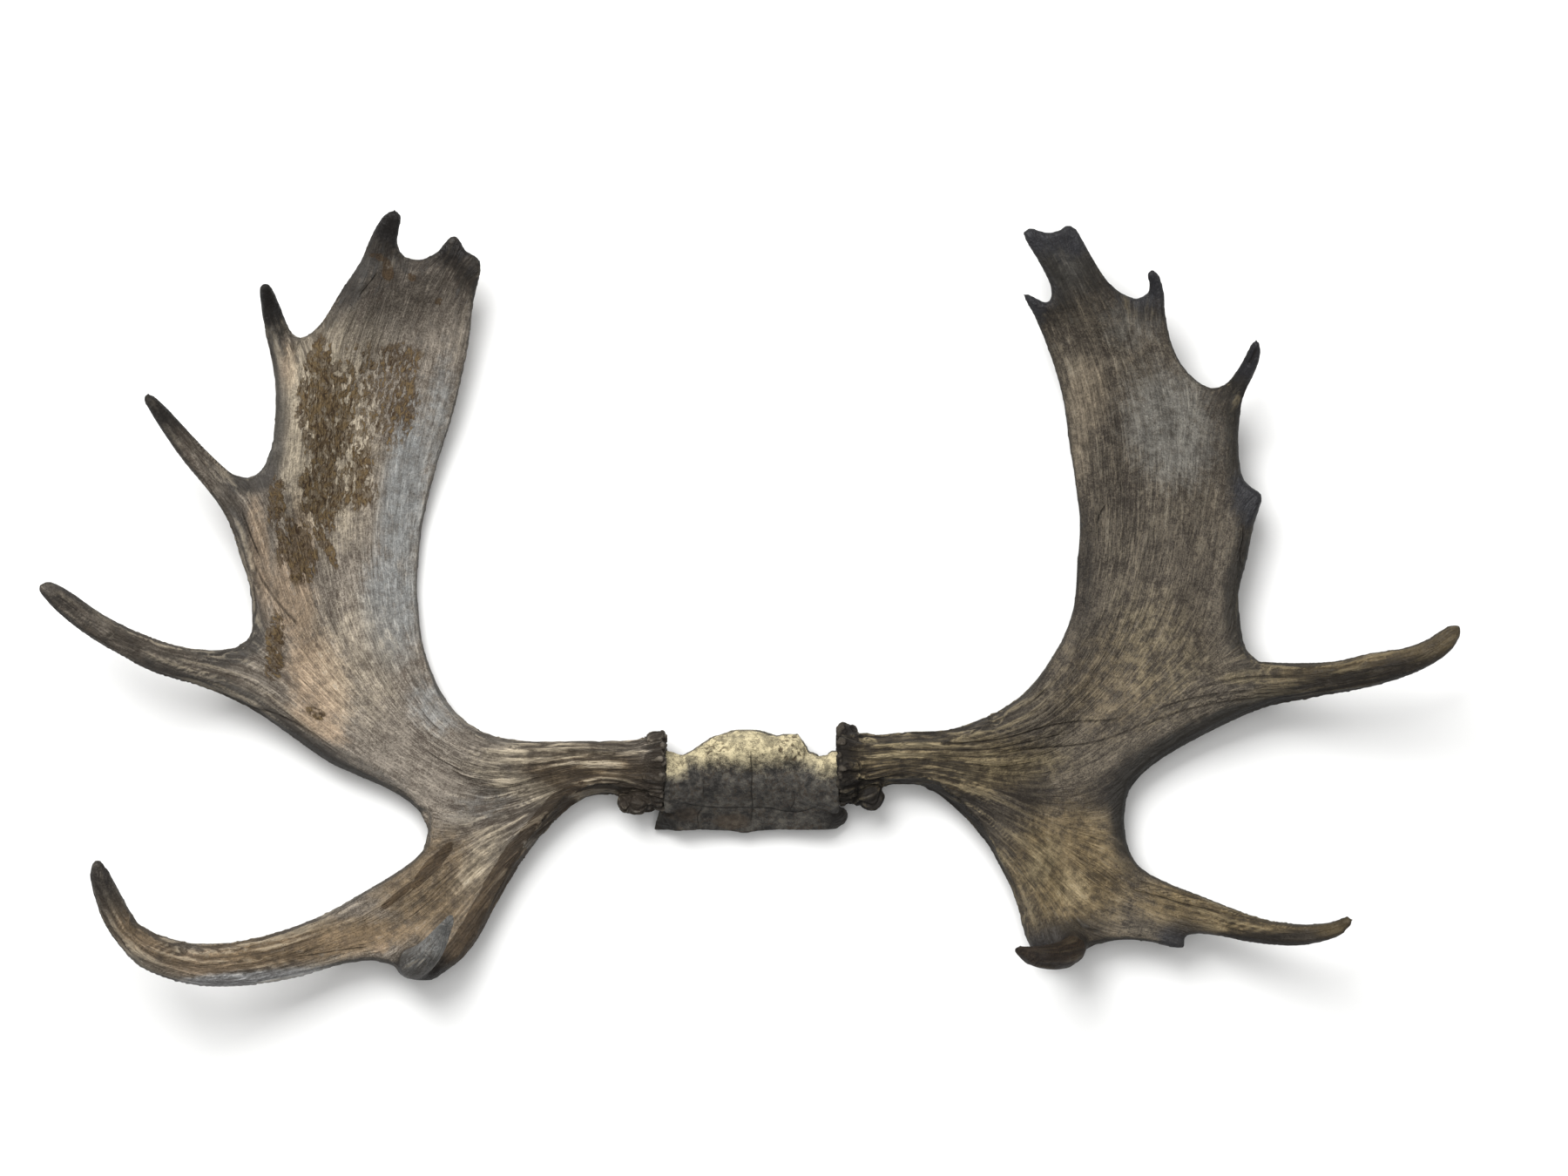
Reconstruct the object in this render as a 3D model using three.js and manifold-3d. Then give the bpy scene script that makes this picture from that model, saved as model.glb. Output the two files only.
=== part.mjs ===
// A pair of moose antlers joined by nature on the sawn-off piece of skull that carries them,
// lying on its back with the cupped faces of the palms up.
//
// Millimetres. +X runs across the spread, +Y points along the standing palms and +Z up, away
// from the surface that the antlers lie on. The origin is the middle of the skull plate's sawn
// flat back.
//
// Each antler grows from its burr as a round beam, spreads into a broad palm with tines along
// its outer margin, and forks off a smaller brow palm. Palm, beam and tines are one slab whose
// thickness swells and rounds off at the margin. The margin is a closed loop of hand-placed
// points, each with the height of the slab's middle and the radius of the rounded edge there.

import * as THREE from 'three';
import { mergeVertices } from 'three/addons/utils/BufferGeometryUtils.js';
import Module from 'manifold-3d';

const wasm = await Module();
wasm.setup();

// ---- Driving dimensions, mm -------------------------------------------------------------

const SEAM_GAP = 0.3;
const BURR_FACE_X = 77;
const BURR_WIDTH = 21;
const AXIS_HEIGHT = 42;

// Margin sampling: a station about every edge radius, within these limits.
const STATION_PER_RADIUS = 1.15;
const SHORTEST_STATION = 4;
const LONGEST_STATION = 14;

// Spacing of the points that fill the slab, from the margin to the middle of a palm.
const FILL_NEAR_MARGIN = 6;
const FILL_IN_PALM = 17;
const FILL_GROWTH = 0.42;
const FILL_LATTICE = 4;
const FILL_WANDER = 1.6;
const INNER_RING_DEPTH = 0.34;
const INNER_RING_CROWDING = 0.6;
const FILL_CLEAR_OF_MARGIN = 0.62;
const SETTLING_SWEEPS = 500;

// A palm is dished between its raised margins and thinner in the middle than along them.
const DISH_STARTS = 10;
const DISH_RUN = 62;
const PALM_THINNING = 0.42;
const THINNING_RUN = 55;
const RIB_HEIGHT = 2.6;
const RIB_WIDTH = 15;
const RIB_SHARE_OF_EACH_FACE = 0.6;

const LEFT_MARGIN = {
  beamTop: [
    [-85, 35, 42, 24], [-113, 37, 42, 24], [-161, 37, 41, 23], [-209, 37, 40, 20],
    [-245, 45, 36, 16], [-269, 62, 30, 13],
  ],
  innerEdge: [
    [-284, 82, 24, 12], [-297, 112, 19, 10], [-303, 140, 17, 9], [-306, 176, 16, 8],
    [-303, 220, 18, 8], [-294, 264, 24, 7], [-284, 299, 31, 7], [-273, 331, 38, 7],
    [-265, 363, 45, 7], [-258, 394, 50, 6], [-252, 437, 60, 6], [-246, 460, 70, 6],
  ],
  innerTips: [
    [-245, 470, 73, 5], [-248, 476, 75, 5], [-259, 482, 78, 5], [-265, 493, 82, 5],
    [-269, 496, 84, 4], [-276, 491, 82, 5], [-284, 482, 78, 5], [-298, 475, 75, 5],
    [-313, 476, 76, 5],
  ],
  topTine: [
    [-320, 486, 82, 6], [-318, 501, 94, 6], [-316, 512, 102, 5], [-322, 517, 105, 4],
    [-331, 513, 102, 5], [-344, 494, 93, 8], [-354, 473, 82, 8], [-372, 447, 74, 8],
    [-391, 417, 66, 8], [-403, 406, 63, 8], [-411, 402, 62, 7],
  ],
  upperTine: [
    [-418, 406, 64, 7], [-425, 421, 72, 8], [-429, 438, 92, 7], [-433, 448, 112, 5],
    [-437, 451, 120, 4], [-442, 446, 117, 5], [-441, 430, 106, 7], [-438, 408, 95, 8],
    [-433, 377, 84, 10], [-432, 346, 76, 11], [-434, 314, 70, 11], [-441, 291, 65, 10],
    [-449, 280, 62, 9], [-459, 276, 62, 9],
  ],
  middleTine: [
    [-470, 278, 66, 9], [-484, 290, 78, 9], [-505, 314, 102, 9], [-526, 339, 126, 7.5],
    [-537, 349, 138, 5.5], [-543, 350, 144, 4], [-545, 346, 142, 4.5], [-540, 335, 134, 6.5],
    [-520, 303, 116, 9], [-490, 265, 95, 11], [-474, 235, 78, 12], [-466, 208, 65, 13],
    [-458, 178, 54, 13], [-455, 152, 52, 12], [-457, 132, 52, 11], [-470, 122, 55, 11],
  ],
  outerTine: [
    [-493, 120, 66, 12], [-523, 125, 82, 13], [-553, 137, 100, 12.5], [-582, 152, 118, 12],
    [-611, 173, 137, 10], [-626, 181, 146, 7.5], [-633, 182, 150, 5.5], [-639, 177, 148, 6],
    [-631, 163, 140, 9], [-605, 138, 122, 12], [-564, 112, 102, 13.5], [-538, 98, 90, 14],
    [-508, 89, 76, 15], [-477, 77, 63, 16], [-446, 59, 52, 16], [-415, 37, 43, 16],
    [-384, 15, 38, 15], [-352, 1, 35, 15], [-325, -12, 34, 14],
  ],
  bay: [
    [-305, -27, 34, 13], [-296, -45, 36, 12], [-300, -63, 39, 11],
  ],
  browTine: [
    [-320, -80, 42, 11], [-351, -99, 49, 11], [-382, -117, 57, 12], [-413, -130, 66, 13],
    [-444, -139, 78, 15], [-475, -144, 92, 16], [-505, -144, 105, 16], [-535, -135, 120, 15],
    [-550, -125, 129, 14], [-558, -111, 138, 12], [-567, -91, 152, 11], [-576, -72, 166, 8],
    [-581, -66, 171, 6], [-584, -66, 172, 5], [-589, -74, 170, 6], [-590, -86, 164, 8],
    [-586, -105, 155, 10], [-579, -126, 145, 12], [-567, -146, 133, 13], [-550, -165, 122, 14],
    [-520, -179, 108, 15], [-490, -185, 95, 15], [-460, -185, 83, 14], [-413, -178, 68, 13],
    [-367, -166, 54, 12],
  ],
  browFoot: [
    [-343, -164, 50, 12], [-328, -168, 48, 12], [-310, -181, 48, 12], [-289, -181, 48, 12],
    [-276, -172, 45, 12], [-263, -162, 42, 13], [-250, -146, 39, 15],
  ],
  beamUnder: [
    [-229, -106, 35, 17], [-209, -74, 35, 19], [-185, -43, 37, 22], [-153, -16, 40, 24],
    [-129, -12, 41, 24], [-85, -12, 42, 24],
  ],
};

const RIGHT_MARGIN = {
  beamTop: [
    [85, 40, 42, 24], [109, 40, 42, 24], [141, 45, 42, 24], [173, 46, 41, 23],
    [196, 51, 41, 20], [212, 58, 39, 17], [228, 66, 36, 15], [245, 77, 32, 13],
  ],
  innerEdge: [
    [261, 94, 25, 11], [273, 111, 21, 10], [285, 132, 18, 9], [294, 156, 16, 8],
    [298, 200, 16, 8], [300, 236, 19, 8], [296, 268, 24, 7], [291, 299, 30, 7],
    [284, 347, 39, 7], [274, 382, 48, 6], [266, 403, 56, 6], [256, 425, 66, 6],
    [249, 436, 74, 5],
  ],
  innerTips: [
    [246, 443, 78, 4], [251, 442, 78, 4.5], [263, 436, 76, 5], [269, 434, 75, 5],
    [272, 441, 76, 5], [270, 452, 78, 5.5], [261, 470, 82, 6], [250, 487, 87, 6],
    [246, 495, 89, 5], [247, 500, 90, 5], [253, 502, 90, 4.5], [262, 499, 88, 5],
    [271, 498, 88, 5], [279, 500, 89, 5], [286, 505, 90, 4.5], [293, 502, 90, 5],
    [300, 491, 88, 6.5], [311, 472, 82, 7], [322, 456, 77, 7], [338, 443, 72, 6],
    [351, 439, 70, 6],
  ],
  topTine: [
    [359, 443, 73, 6], [360, 452, 82, 5], [358, 461, 90, 4.5], [361, 464, 92, 4],
    [368, 460, 90, 4.5], [373, 447, 84, 6], [376, 423, 77, 8], [380, 403, 73, 9],
    [388, 384, 68, 8.5], [402, 367, 64, 7.5], [418, 358, 62, 7],
  ],
  upperTine: [
    [430, 361, 66, 6.5], [441, 375, 80, 6], [449, 391, 95, 5], [455, 401, 105, 4],
    [460, 394, 103, 4.5], [459, 381, 95, 6.5], [453, 364, 82, 8.5], [446, 348, 72, 9.5],
    [444, 322, 62, 11], [444, 295, 58, 11], [448, 275, 58, 9], [456, 267, 60, 6.5],
    [464, 261, 62, 4], [463, 251, 60, 6.5], [458, 235, 56, 10], [451, 200, 52, 12],
    [444, 172, 51, 12], [446, 140, 52, 12], [451, 119, 56, 12], [461, 110, 60, 12],
  ],
  outerTine: [
    [480, 109, 68, 14], [503, 109, 80, 15.5], [530, 111, 94, 15.5], [556, 118, 108, 14.5],
    [586, 122, 122, 13], [609, 131, 132, 11], [625, 142, 140, 8], [635, 143, 143, 5.5],
    [637, 137, 142, 5.5], [629, 120, 136, 8.5], [613, 107, 127, 11], [579, 92, 112, 14],
    [541, 82, 96, 15.5], [503, 75, 80, 16], [473, 69, 67, 17], [442, 57, 56, 17],
    [411, 41, 46, 17], [379, 23, 40, 16], [356, 5, 36, 14],
  ],
  bay: [
    [345, -9, 36, 12.5], [341, -31, 36, 12], [343, -57, 38, 11.5],
  ],
  browTine: [
    [353, -77, 40, 10.5], [375, -90, 48, 10], [410, -104, 58, 12.5], [441, -116, 70, 13],
    [471, -125, 84, 11.5], [501, -127, 102, 9.5], [524, -124, 117, 7.5], [536, -119, 126, 5],
    [541, -121, 129, 4], [535, -133, 124, 6], [516, -143, 112, 8.5], [486, -148, 94, 10.5],
    [448, -145, 74, 11], [422, -140, 62, 9], [404, -139, 57, 6.5], [394, -142, 55, 4],
    [395, -151, 56, 3], [382, -151, 55, 5], [359, -146, 50, 9],
  ],
  browFoot: [
    [331, -146, 46, 11], [314, -150, 44, 12], [300, -157, 43, 11], [276, -161, 41, 10],
    [256, -156, 39, 11], [249, -142, 37, 12],
  ],
  beamUnder: [
    [241, -111, 37, 14], [229, -83, 36, 16], [213, -56, 36, 18], [197, -36, 37, 20],
    [177, -18, 38, 22], [153, -4, 40, 24], [125, -4, 41, 24], [85, -6, 42, 24],
  ],
};

// What each antler has besides its margin. The small brow tine stands up out of the brow palm's
// foot, as [x, y, z, radius] along its middle. Ribs swell the palm from the beam to each tine.
const LEFT_ANTLER = {
  margin: LEFT_MARGIN,
  side: -1,
  burrY: 10,
  burrRadius: 34,
  forkY: -58,
  dish: 27,
  smallBrowTine: [
    [-311, -166, 38, 15], [-304, -164, 68, 15], [-291, -153, 102, 12], [-280, -138, 126, 9],
    [-269, -120, 145, 4],
  ],
  burrLumps: [[-113, -20, 40, 10], [-104, -20, 48, 10], [-95, -17, 38, 11], [-87, 38, 46, 10]],
  ribRoot: [-215, 12],
  ribEnds: [[-450, 240], [-480, 100], [-420, -140]],
};

const RIGHT_ANTLER = {
  margin: RIGHT_MARGIN,
  side: 1,
  burrY: 16,
  burrRadius: 36,
  forkY: -52,
  dish: 25,
  smallBrowTine: [
    [297, -143, 40, 12], [289, -154, 72, 13], [271, -157, 100, 12.5], [253, -155, 121, 9.5],
    [240, -149, 133, 4],
  ],
  burrLumps: [[109, -14, 42, 13], [97, -13, 34, 11], [88, 46, 44, 9]],
  ribRoot: [205, 18],
  ribEnds: [[436, 240], [480, 90], [440, -130]],
};

// Skull plate, seen from the front: its sawn lower edge, the crest between the pedicles, and
// the two stumps of the pedicles at its sides. The plate is cut off flat at its back.
const PEDICLE_RADIUS = 28;
const PEDICLE_WAIST = 24;
const PEDICLE_Y = -1;
const PEDICLE_ROOT_X = 44;
const PLATE_EDGE_ROUNDING = 15;
const PLATE_OUTLINE = [
  [-89, -45], [-70, -45.5], [-40, -45], [-18, -46], [-6, -48], [6, -46], [30, -45], [62, -45],
  [78, -44], [85, -39], [88, -32], [86, -27], [76, -24], [69, -14], [68, 14], [60, 23],
  [52, 26], [48, 34], [42, 42], [31, 42], [22, 40.5], [12, 44], [0, 46], [-13, 46], [-24, 43],
  [-36, 39], [-46, 33], [-54, 27], [-62, 23], [-68, 14], [-69, -16], [-75, -24], [-84, -28],
  [-86, -34],
];

const BONE_COLOURS = {
  leftMain: '#a2988a',
  leftBrow: '#8f8474',
  rightMain: '#857b6b',
  rightBrow: '#8a7d65',
  plate: '#7f7a6e',
};

// ---- Small helpers ----------------------------------------------------------------------

const clamp = THREE.MathUtils.clamp;
const lerp = THREE.MathUtils.lerp;
const ramp = THREE.MathUtils.smoothstep;

/** A repeatable pseudo-random value from 0 to 1 for a whole number. */
function scatter(index) {
  const wave = Math.sin(index * 12.9898 + 4.1414) * 43758.5453;
  return wave - Math.floor(wave);
}

/** Distance from a point to the segment between two points, in plan. */
function distanceToSegment(point, start, end) {
  const runX = end.x - start.x;
  const runY = end.y - start.y;
  const along = ((point.x - start.x) * runX + (point.y - start.y) * runY) / (runX ** 2 + runY ** 2);
  const share = clamp(along, 0, 1);
  return Math.hypot(point.x - start.x - share * runX, point.y - start.y - share * runY);
}

/** The depth of a point behind a closed loop, and the edge radius at the nearest station. */
function measureFromMargin(point, stations) {
  let depth = Infinity;
  let radius = 0;
  stations.forEach((station, index) => {
    const next = stations[(index + 1) % stations.length];
    const distance = distanceToSegment(point, station, next);
    if (distance < depth) {
      depth = distance;
      radius = station.radius;
    }
  });
  return { depth, radius };
}

/** Whether a point lies inside a closed loop, by counting crossings. */
function isInside(point, loop) {
  let inside = false;
  loop.forEach((corner, index) => {
    const next = loop[(index + 1) % loop.length];
    const spans = corner.y > point.y !== next.y > point.y;
    const crossing = corner.x + ((point.y - corner.y) * (next.x - corner.x)) / (next.y - corner.y);
    if (spans && point.x < crossing) inside = !inside;
  });
  return inside;
}

// ---- Triangles across an outline --------------------------------------------------------

/** A triangle of three point numbers with its circumscribed circle. */
function makeTriangle(points, a, b, c) {
  const ax = points[a].x;
  const ay = points[a].y;
  const bx = points[b].x - ax;
  const by = points[b].y - ay;
  const cx = points[c].x - ax;
  const cy = points[c].y - ay;
  const twiceArea = 2 * (bx * cy - by * cx);
  const x = (cy * (bx ** 2 + by ** 2) - by * (cx ** 2 + cy ** 2)) / twiceArea;
  const y = (bx * (cx ** 2 + cy ** 2) - cx * (bx ** 2 + by ** 2)) / twiceArea;
  const corners = twiceArea > 0 ? [a, b, c] : [a, c, b];
  return { corners, x: x + ax, y: y + ay, reach: Math.hypot(x, y) };
}

/** Delaunay triangles over scattered points, each a list of three point numbers. */
function triangulate(points) {
  const far = 1e5;
  const frame = [{ x: -far, y: -far }, { x: far, y: -far }, { x: 0, y: far }];
  const all = [...points, ...frame];
  const first = points.length;
  let triangles = [makeTriangle(all, first, first + 1, first + 2)];
  points.forEach((point, index) => {
    const rim = new Map();
    triangles = triangles.filter(({ corners, x, y, reach }) => {
      if (Math.hypot(point.x - x, point.y - y) >= reach) return true;
      corners.forEach((from, turn) => {
        const to = corners[(turn + 1) % 3];
        const shared = `${to},${from}`;
        if (!rim.delete(shared)) rim.set(`${from},${to}`, [from, to]);
      });
      return false;
    });
    rim.forEach(([from, to]) => triangles.push(makeTriangle(all, from, to, index)));
  });
  return triangles.map(({ corners }) => corners).filter((corners) => Math.max(...corners) < first);
}

/** Triangles that lie inside a loop whose points are the first ones of the list. */
function triangulateInside(points, loop) {
  return triangulate(points).filter((corners) => {
    const x = corners.reduce((sum, index) => sum + points[index].x, 0) / 3;
    const y = corners.reduce((sum, index) => sum + points[index].y, 0) / 3;
    return isInside({ x, y }, loop);
  });
}

/** Adds a station halfway along every stretch of a loop that no triangle's edge follows. */
function splitMissedEdges(stations, triangles) {
  const edges = new Set();
  triangles.forEach((corners) => {
    corners.forEach((from, turn) => edges.add(`${from},${corners[(turn + 1) % 3]}`));
  });
  return stations.flatMap((station, index) => {
    const nextIndex = (index + 1) % stations.length;
    if (edges.has(`${index},${nextIndex}`)) return [station];
    const next = stations[nextIndex];
    const halfway = Object.keys(station).map((key) => [key, lerp(station[key], next[key], 0.5)]);
    return [station, Object.fromEntries(halfway)];
  });
}

/** A closed solid from merged vertices and faces, ready to join and cut. */
function toSolid(geometry) {
  geometry.deleteAttribute('normal');
  geometry.deleteAttribute('uv');
  const merged = mergeVertices(geometry, 1e-4);
  return new wasm.Manifold(new wasm.Mesh({
    numProp: 3,
    vertProperties: new Float32Array(merged.attributes.position.array),
    triVerts: new Uint32Array(merged.index.array),
  }));
}

/** A buffer geometry from a list of vectors and a list of triangles. */
function toGeometry(vertices, triangles) {
  const geometry = new THREE.BufferGeometry();
  const numbers = vertices.flatMap((vertex) => [vertex.x, vertex.y, vertex.z]);
  geometry.setAttribute('position', new THREE.Float32BufferAttribute(numbers, 3));
  geometry.setIndex(triangles.flat());
  return geometry;
}

// ---- The slab of beam, palm and tines ---------------------------------------------------

/** Closely spaced stations along a margin, anticlockwise from above. */
function sampleMargin(margin) {
  const points = Object.values(margin).flat();
  const vectors = points.map(([x, y, z]) => new THREE.Vector3(x, y, z));
  const curve = new THREE.CatmullRomCurve3(vectors, true, 'centripetal');
  const stations = [];
  points.forEach(([, , , radius], index) => {
    const nextIndex = (index + 1) % points.length;
    const nextRadius = points[nextIndex][3];
    const reach = vectors[index].distanceTo(vectors[nextIndex]);
    const wanted = STATION_PER_RADIUS * Math.min(radius, nextRadius);
    const step = clamp(wanted, SHORTEST_STATION, LONGEST_STATION);
    const count = Math.max(1, Math.round(reach / step));
    for (let part = 0; part < count; part += 1) {
      const blend = part / count;
      const { x, y, z } = curve.getPoint((index + blend) / points.length);
      stations.push({ x, y, z, radius: lerp(radius, nextRadius, blend) });
    }
  });
  return THREE.ShapeUtils.isClockWise(stations) ? stations.reverse() : stations;
}

/** Points a little way inside the margin, which give the edge its round section. */
function innerRing(stations) {
  return stations.map((station, index) => {
    const before = stations.at(index - 1);
    const after = stations[(index + 1) % stations.length];
    const length = Math.hypot(after.x - before.x, after.y - before.y);
    const depth = INNER_RING_DEPTH * station.radius;
    const x = station.x - (depth * (after.y - before.y)) / length;
    const y = station.y + (depth * (after.x - before.x)) / length;
    return { x, y };
  });
}

/** A fine lattice over a loop, deepest points first. */
function latticeInside(stations) {
  const box = new THREE.Box2().setFromPoints(stations);
  const lattice = [];
  let index = 0;
  for (let x = box.min.x; x < box.max.x; x += FILL_LATTICE) {
    for (let y = box.min.y; y < box.max.y; y += FILL_LATTICE) {
      index += 1;
      const wanderX = x + FILL_WANDER * (scatter(index) - 0.5);
      const wanderY = y + FILL_WANDER * (scatter(index + 0.5) - 0.5);
      const point = { x: wanderX, y: wanderY };
      if (isInside(point, stations)) lattice.push({ ...point, ...measureFromMargin(point, stations) });
    }
  }
  return lattice.sort((one, other) => other.depth - one.depth);
}

/** Points that fill a loop, close together near the margin and wider apart in the palm. */
function fillPoints(stations) {
  const accepted = [];
  const isClear = (point, gap) => accepted.every(
    (other) => Math.hypot(point.x - other.x, point.y - other.y) >= gap,
  );
  innerRing(stations).forEach((point) => {
    const { depth, radius } = measureFromMargin(point, stations);
    const wanted = INNER_RING_DEPTH * radius;
    const station = clamp(STATION_PER_RADIUS * radius, SHORTEST_STATION, LONGEST_STATION);
    const gap = INNER_RING_CROWDING * station;
    const isDeepEnough = depth > 0.8 * wanted && isInside(point, stations);
    if (isDeepEnough && isClear(point, gap)) accepted.push(point);
  });
  latticeInside(stations).forEach(({ x, y, depth, radius }) => {
    if (depth < FILL_CLEAR_OF_MARGIN * Math.min(radius, LONGEST_STATION)) return;
    const gap = clamp(FILL_NEAR_MARGIN + FILL_GROWTH * (depth - 4), FILL_NEAR_MARGIN, FILL_IN_PALM);
    if (isClear({ x, y }, gap)) accepted.push({ x, y });
  });
  return accepted.map(({ x, y }) => ({ x, y, z: 0, radius: 0 }));
}

/** Lets height and edge radius settle evenly between their values on the margin. */
function settleInterior(points, triangles, marginCount) {
  const neighbours = points.map(() => new Set());
  triangles.forEach((corners) => {
    corners.forEach((from, turn) => {
      const to = corners[(turn + 1) % 3];
      neighbours[from].add(to);
      neighbours[to].add(from);
    });
  });
  const lists = neighbours.map((set, index) => [...set].map((other) => {
    const reach = Math.hypot(points[index].x - points[other].x, points[index].y - points[other].y);
    return { other, weight: 1 / reach };
  }));
  for (let sweep = 0; sweep < SETTLING_SWEEPS; sweep += 1) {
    for (let index = marginCount; index < points.length; index += 1) {
      const total = lists[index].reduce((sum, { weight }) => sum + weight, 0);
      const mean = (key) => lists[index].reduce(
        (sum, { other, weight }) => sum + weight * points[other][key],
        0,
      ) / total;
      points[index].z = mean('z');
      points[index].radius = mean('radius');
    }
  }
}

/** How far the ribs that run from the beam to the tines lift and thicken the palm at a point. */
function ribSwell(point, antler) {
  const root = { x: antler.ribRoot[0], y: antler.ribRoot[1] };
  const swells = antler.ribEnds.map(([x, y]) => {
    const distance = distanceToSegment(point, root, { x, y });
    return RIB_HEIGHT * Math.exp(-((distance / RIB_WIDTH) ** 2));
  });
  return Math.max(...swells);
}

/** Half the slab's thickness at a depth behind a margin with the given edge radius. */
function halfThickness(depth, radius) {
  const shortfall = 1 - Math.min(depth / radius, 1);
  const rounded = radius * Math.sqrt(1 - shortfall ** 2);
  return rounded * (1 - PALM_THINNING * ramp(depth, radius, radius + THINNING_RUN));
}

/** Upward normals of a surface given by points and triangles. */
function surfaceNormals(vectors, triangles) {
  const geometry = toGeometry(vectors, triangles);
  geometry.computeVertexNormals();
  const normals = geometry.attributes.normal;
  return vectors.map((_, index) => new THREE.Vector3().fromBufferAttribute(normals, index));
}

/** Middles of the edges that cross from margin to margin, where the slab would be pinched. */
function findPinches(points, triangles, stationCount) {
  const pinches = [];
  triangles.forEach((corners) => {
    corners.forEach((from, turn) => {
      const to = corners[(turn + 1) % 3];
      const isNeighbour = to - from === 1 || to - from === stationCount - 1;
      if (from >= to || to >= stationCount || isNeighbour) return;
      const x = lerp(points[from].x, points[to].x, 0.5);
      const y = lerp(points[from].y, points[to].y, 0.5);
      pinches.push({ x, y, z: 0, radius: 0 });
    });
  });
  return pinches;
}

/** Points and triangles across a margin, with the margin's stations first. */
function meshAcross(stations, fill = fillPoints(stations)) {
  const points = [...stations.map((station) => ({ ...station })), ...fill];
  const triangles = triangulateInside(points, stations);
  const refined = splitMissedEdges(stations, triangles);
  if (refined.length > stations.length) return meshAcross(refined);
  const pinches = findPinches(points, triangles, stations.length);
  if (pinches.length > 0) return meshAcross(stations, [...fill, ...pinches]);
  return { stations, points, triangles };
}

/** Beam, palm and tines of one antler, as one closed solid. */
function makeSlab(antler) {
  const { stations, points, triangles } = meshAcross(sampleMargin(antler.margin));
  settleInterior(points, triangles, stations.length);

  const isOnMargin = (index) => index < stations.length;
  const halves = points.map((point, index) => {
    if (isOnMargin(index)) return 0;
    const { depth } = measureFromMargin(point, stations);
    const swell = RIB_SHARE_OF_EACH_FACE * ribSwell(point, antler) * ramp(depth, 0, 40);
    point.z += swell - antler.dish * ramp(depth, DISH_STARTS, DISH_STARTS + DISH_RUN);
    return halfThickness(depth, point.radius) + swell;
  });

  const middle = points.map(({ x, y, z }) => new THREE.Vector3(x, y, z));
  const normals = surfaceNormals(middle, triangles);
  const offset = (sign) => middle.map(
    (vector, index) => vector.clone().addScaledVector(normals[index], sign * halves[index]),
  );
  const backOf = (index) => (isOnMargin(index) ? index : index + points.length);
  const backTriangles = triangles.map(([a, b, c]) => [backOf(a), backOf(c), backOf(b)]);
  const vertices = [...offset(1), ...offset(-1)];
  return toSolid(toGeometry(vertices, [...triangles, ...backTriangles]));
}

// ---- What grows on the slab -------------------------------------------------------------

/** The knobbly ring around the foot of an antler, its flat inner face towards the skull. */
function makeBurr(antler) {
  const radius = antler.burrRadius;
  const profile = [
    [0, 0], [0.86 * radius, 0], [0.97 * radius, 4], [0.99 * radius, 10], [0.86 * radius, 16],
    [0.7 * radius, BURR_WIDTH], [0, BURR_WIDTH],
  ].map(([reach, along]) => new THREE.Vector2(reach, along));
  const geometry = new THREE.LatheGeometry(profile, 34);
  const position = geometry.attributes.position;
  for (let index = 0; index < position.count; index += 1) {
    const x = position.getX(index);
    const z = position.getZ(index);
    const angle = Math.atan2(z, x);
    const swell = 1 + 0.06 * Math.cos(11 * angle + antler.side) + 0.045 * Math.cos(4 * angle + 1);
    const isBody = Math.hypot(x, z) > 0.5 * radius;
    position.setX(index, isBody ? x * swell : x);
    position.setZ(index, isBody ? z * swell : z);
  }
  geometry.rotateZ((-antler.side * Math.PI) / 2);
  geometry.translate(antler.side * BURR_FACE_X, antler.burrY, AXIS_HEIGHT);
  return toSolid(geometry);
}

/** A rounded lump of bone. */
function makeLump([x, y, z, radius]) {
  const geometry = new THREE.IcosahedronGeometry(radius, 1);
  geometry.translate(x, y, z);
  return toSolid(geometry);
}

/** A round horn that follows a smooth line through [x, y, z, radius] points to a blunt tip. */
function makeHorn(line) {
  const sides = 10;
  const steps = 9;
  const curve = new THREE.CatmullRomCurve3(line.map(([x, y, z]) => new THREE.Vector3(x, y, z)));
  const vertices = [];
  const triangles = [];
  for (let step = 0; step <= steps; step += 1) {
    const share = step / steps;
    const at = curve.getPoint(share);
    const place = share * (line.length - 1);
    const before = Math.min(Math.floor(place), line.length - 2);
    const radius = lerp(line[before][3], line[before + 1][3], place - before);
    const turn = new THREE.Quaternion().setFromUnitVectors(
      new THREE.Vector3(0, 0, 1),
      curve.getTangent(share),
    );
    for (let side = 0; side < sides; side += 1) {
      const angle = (2 * Math.PI * side) / sides;
      const spoke = new THREE.Vector3(radius * Math.cos(angle), radius * Math.sin(angle), 0);
      vertices.push(at.clone().add(spoke.applyQuaternion(turn)));
    }
  }
  const tip = curve.getPoint(1).addScaledVector(curve.getTangent(1), line.at(-1)[3]);
  const foot = vertices.push(curve.getPoint(0)) - 1;
  const peak = vertices.push(tip) - 1;
  for (let side = 0; side < sides; side += 1) {
    const next = (side + 1) % sides;
    const last = steps * sides;
    triangles.push([foot, next, side], [peak, last + side, last + next]);
    for (let step = 0; step < steps; step += 1) {
      const low = step * sides;
      const high = low + sides;
      triangles.push([low + side, low + next, high + next], [low + side, high + next, high + side]);
    }
  }
  return toSolid(toGeometry(vertices, triangles));
}

/** The whole of one antler, burr to tips. */
function makeAntler(antler) {
  const lumps = antler.burrLumps.map(makeLump);
  const growths = [makeBurr(antler), makeHorn(antler.smallBrowTine), ...lumps];
  return growths.reduce((whole, growth) => whole.add(growth), makeSlab(antler));
}

/** A box that takes in everything on one side of a fork: +1 for above it, -1 for below it. */
function halfBeyond(forkY, towards) {
  const span = 2000;
  const geometry = new THREE.BoxGeometry(span, span, span);
  geometry.translate(0, forkY + towards * (span / 2 + SEAM_GAP / 2), 0);
  return toSolid(geometry);
}

// ---- The skull plate --------------------------------------------------------------------

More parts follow.
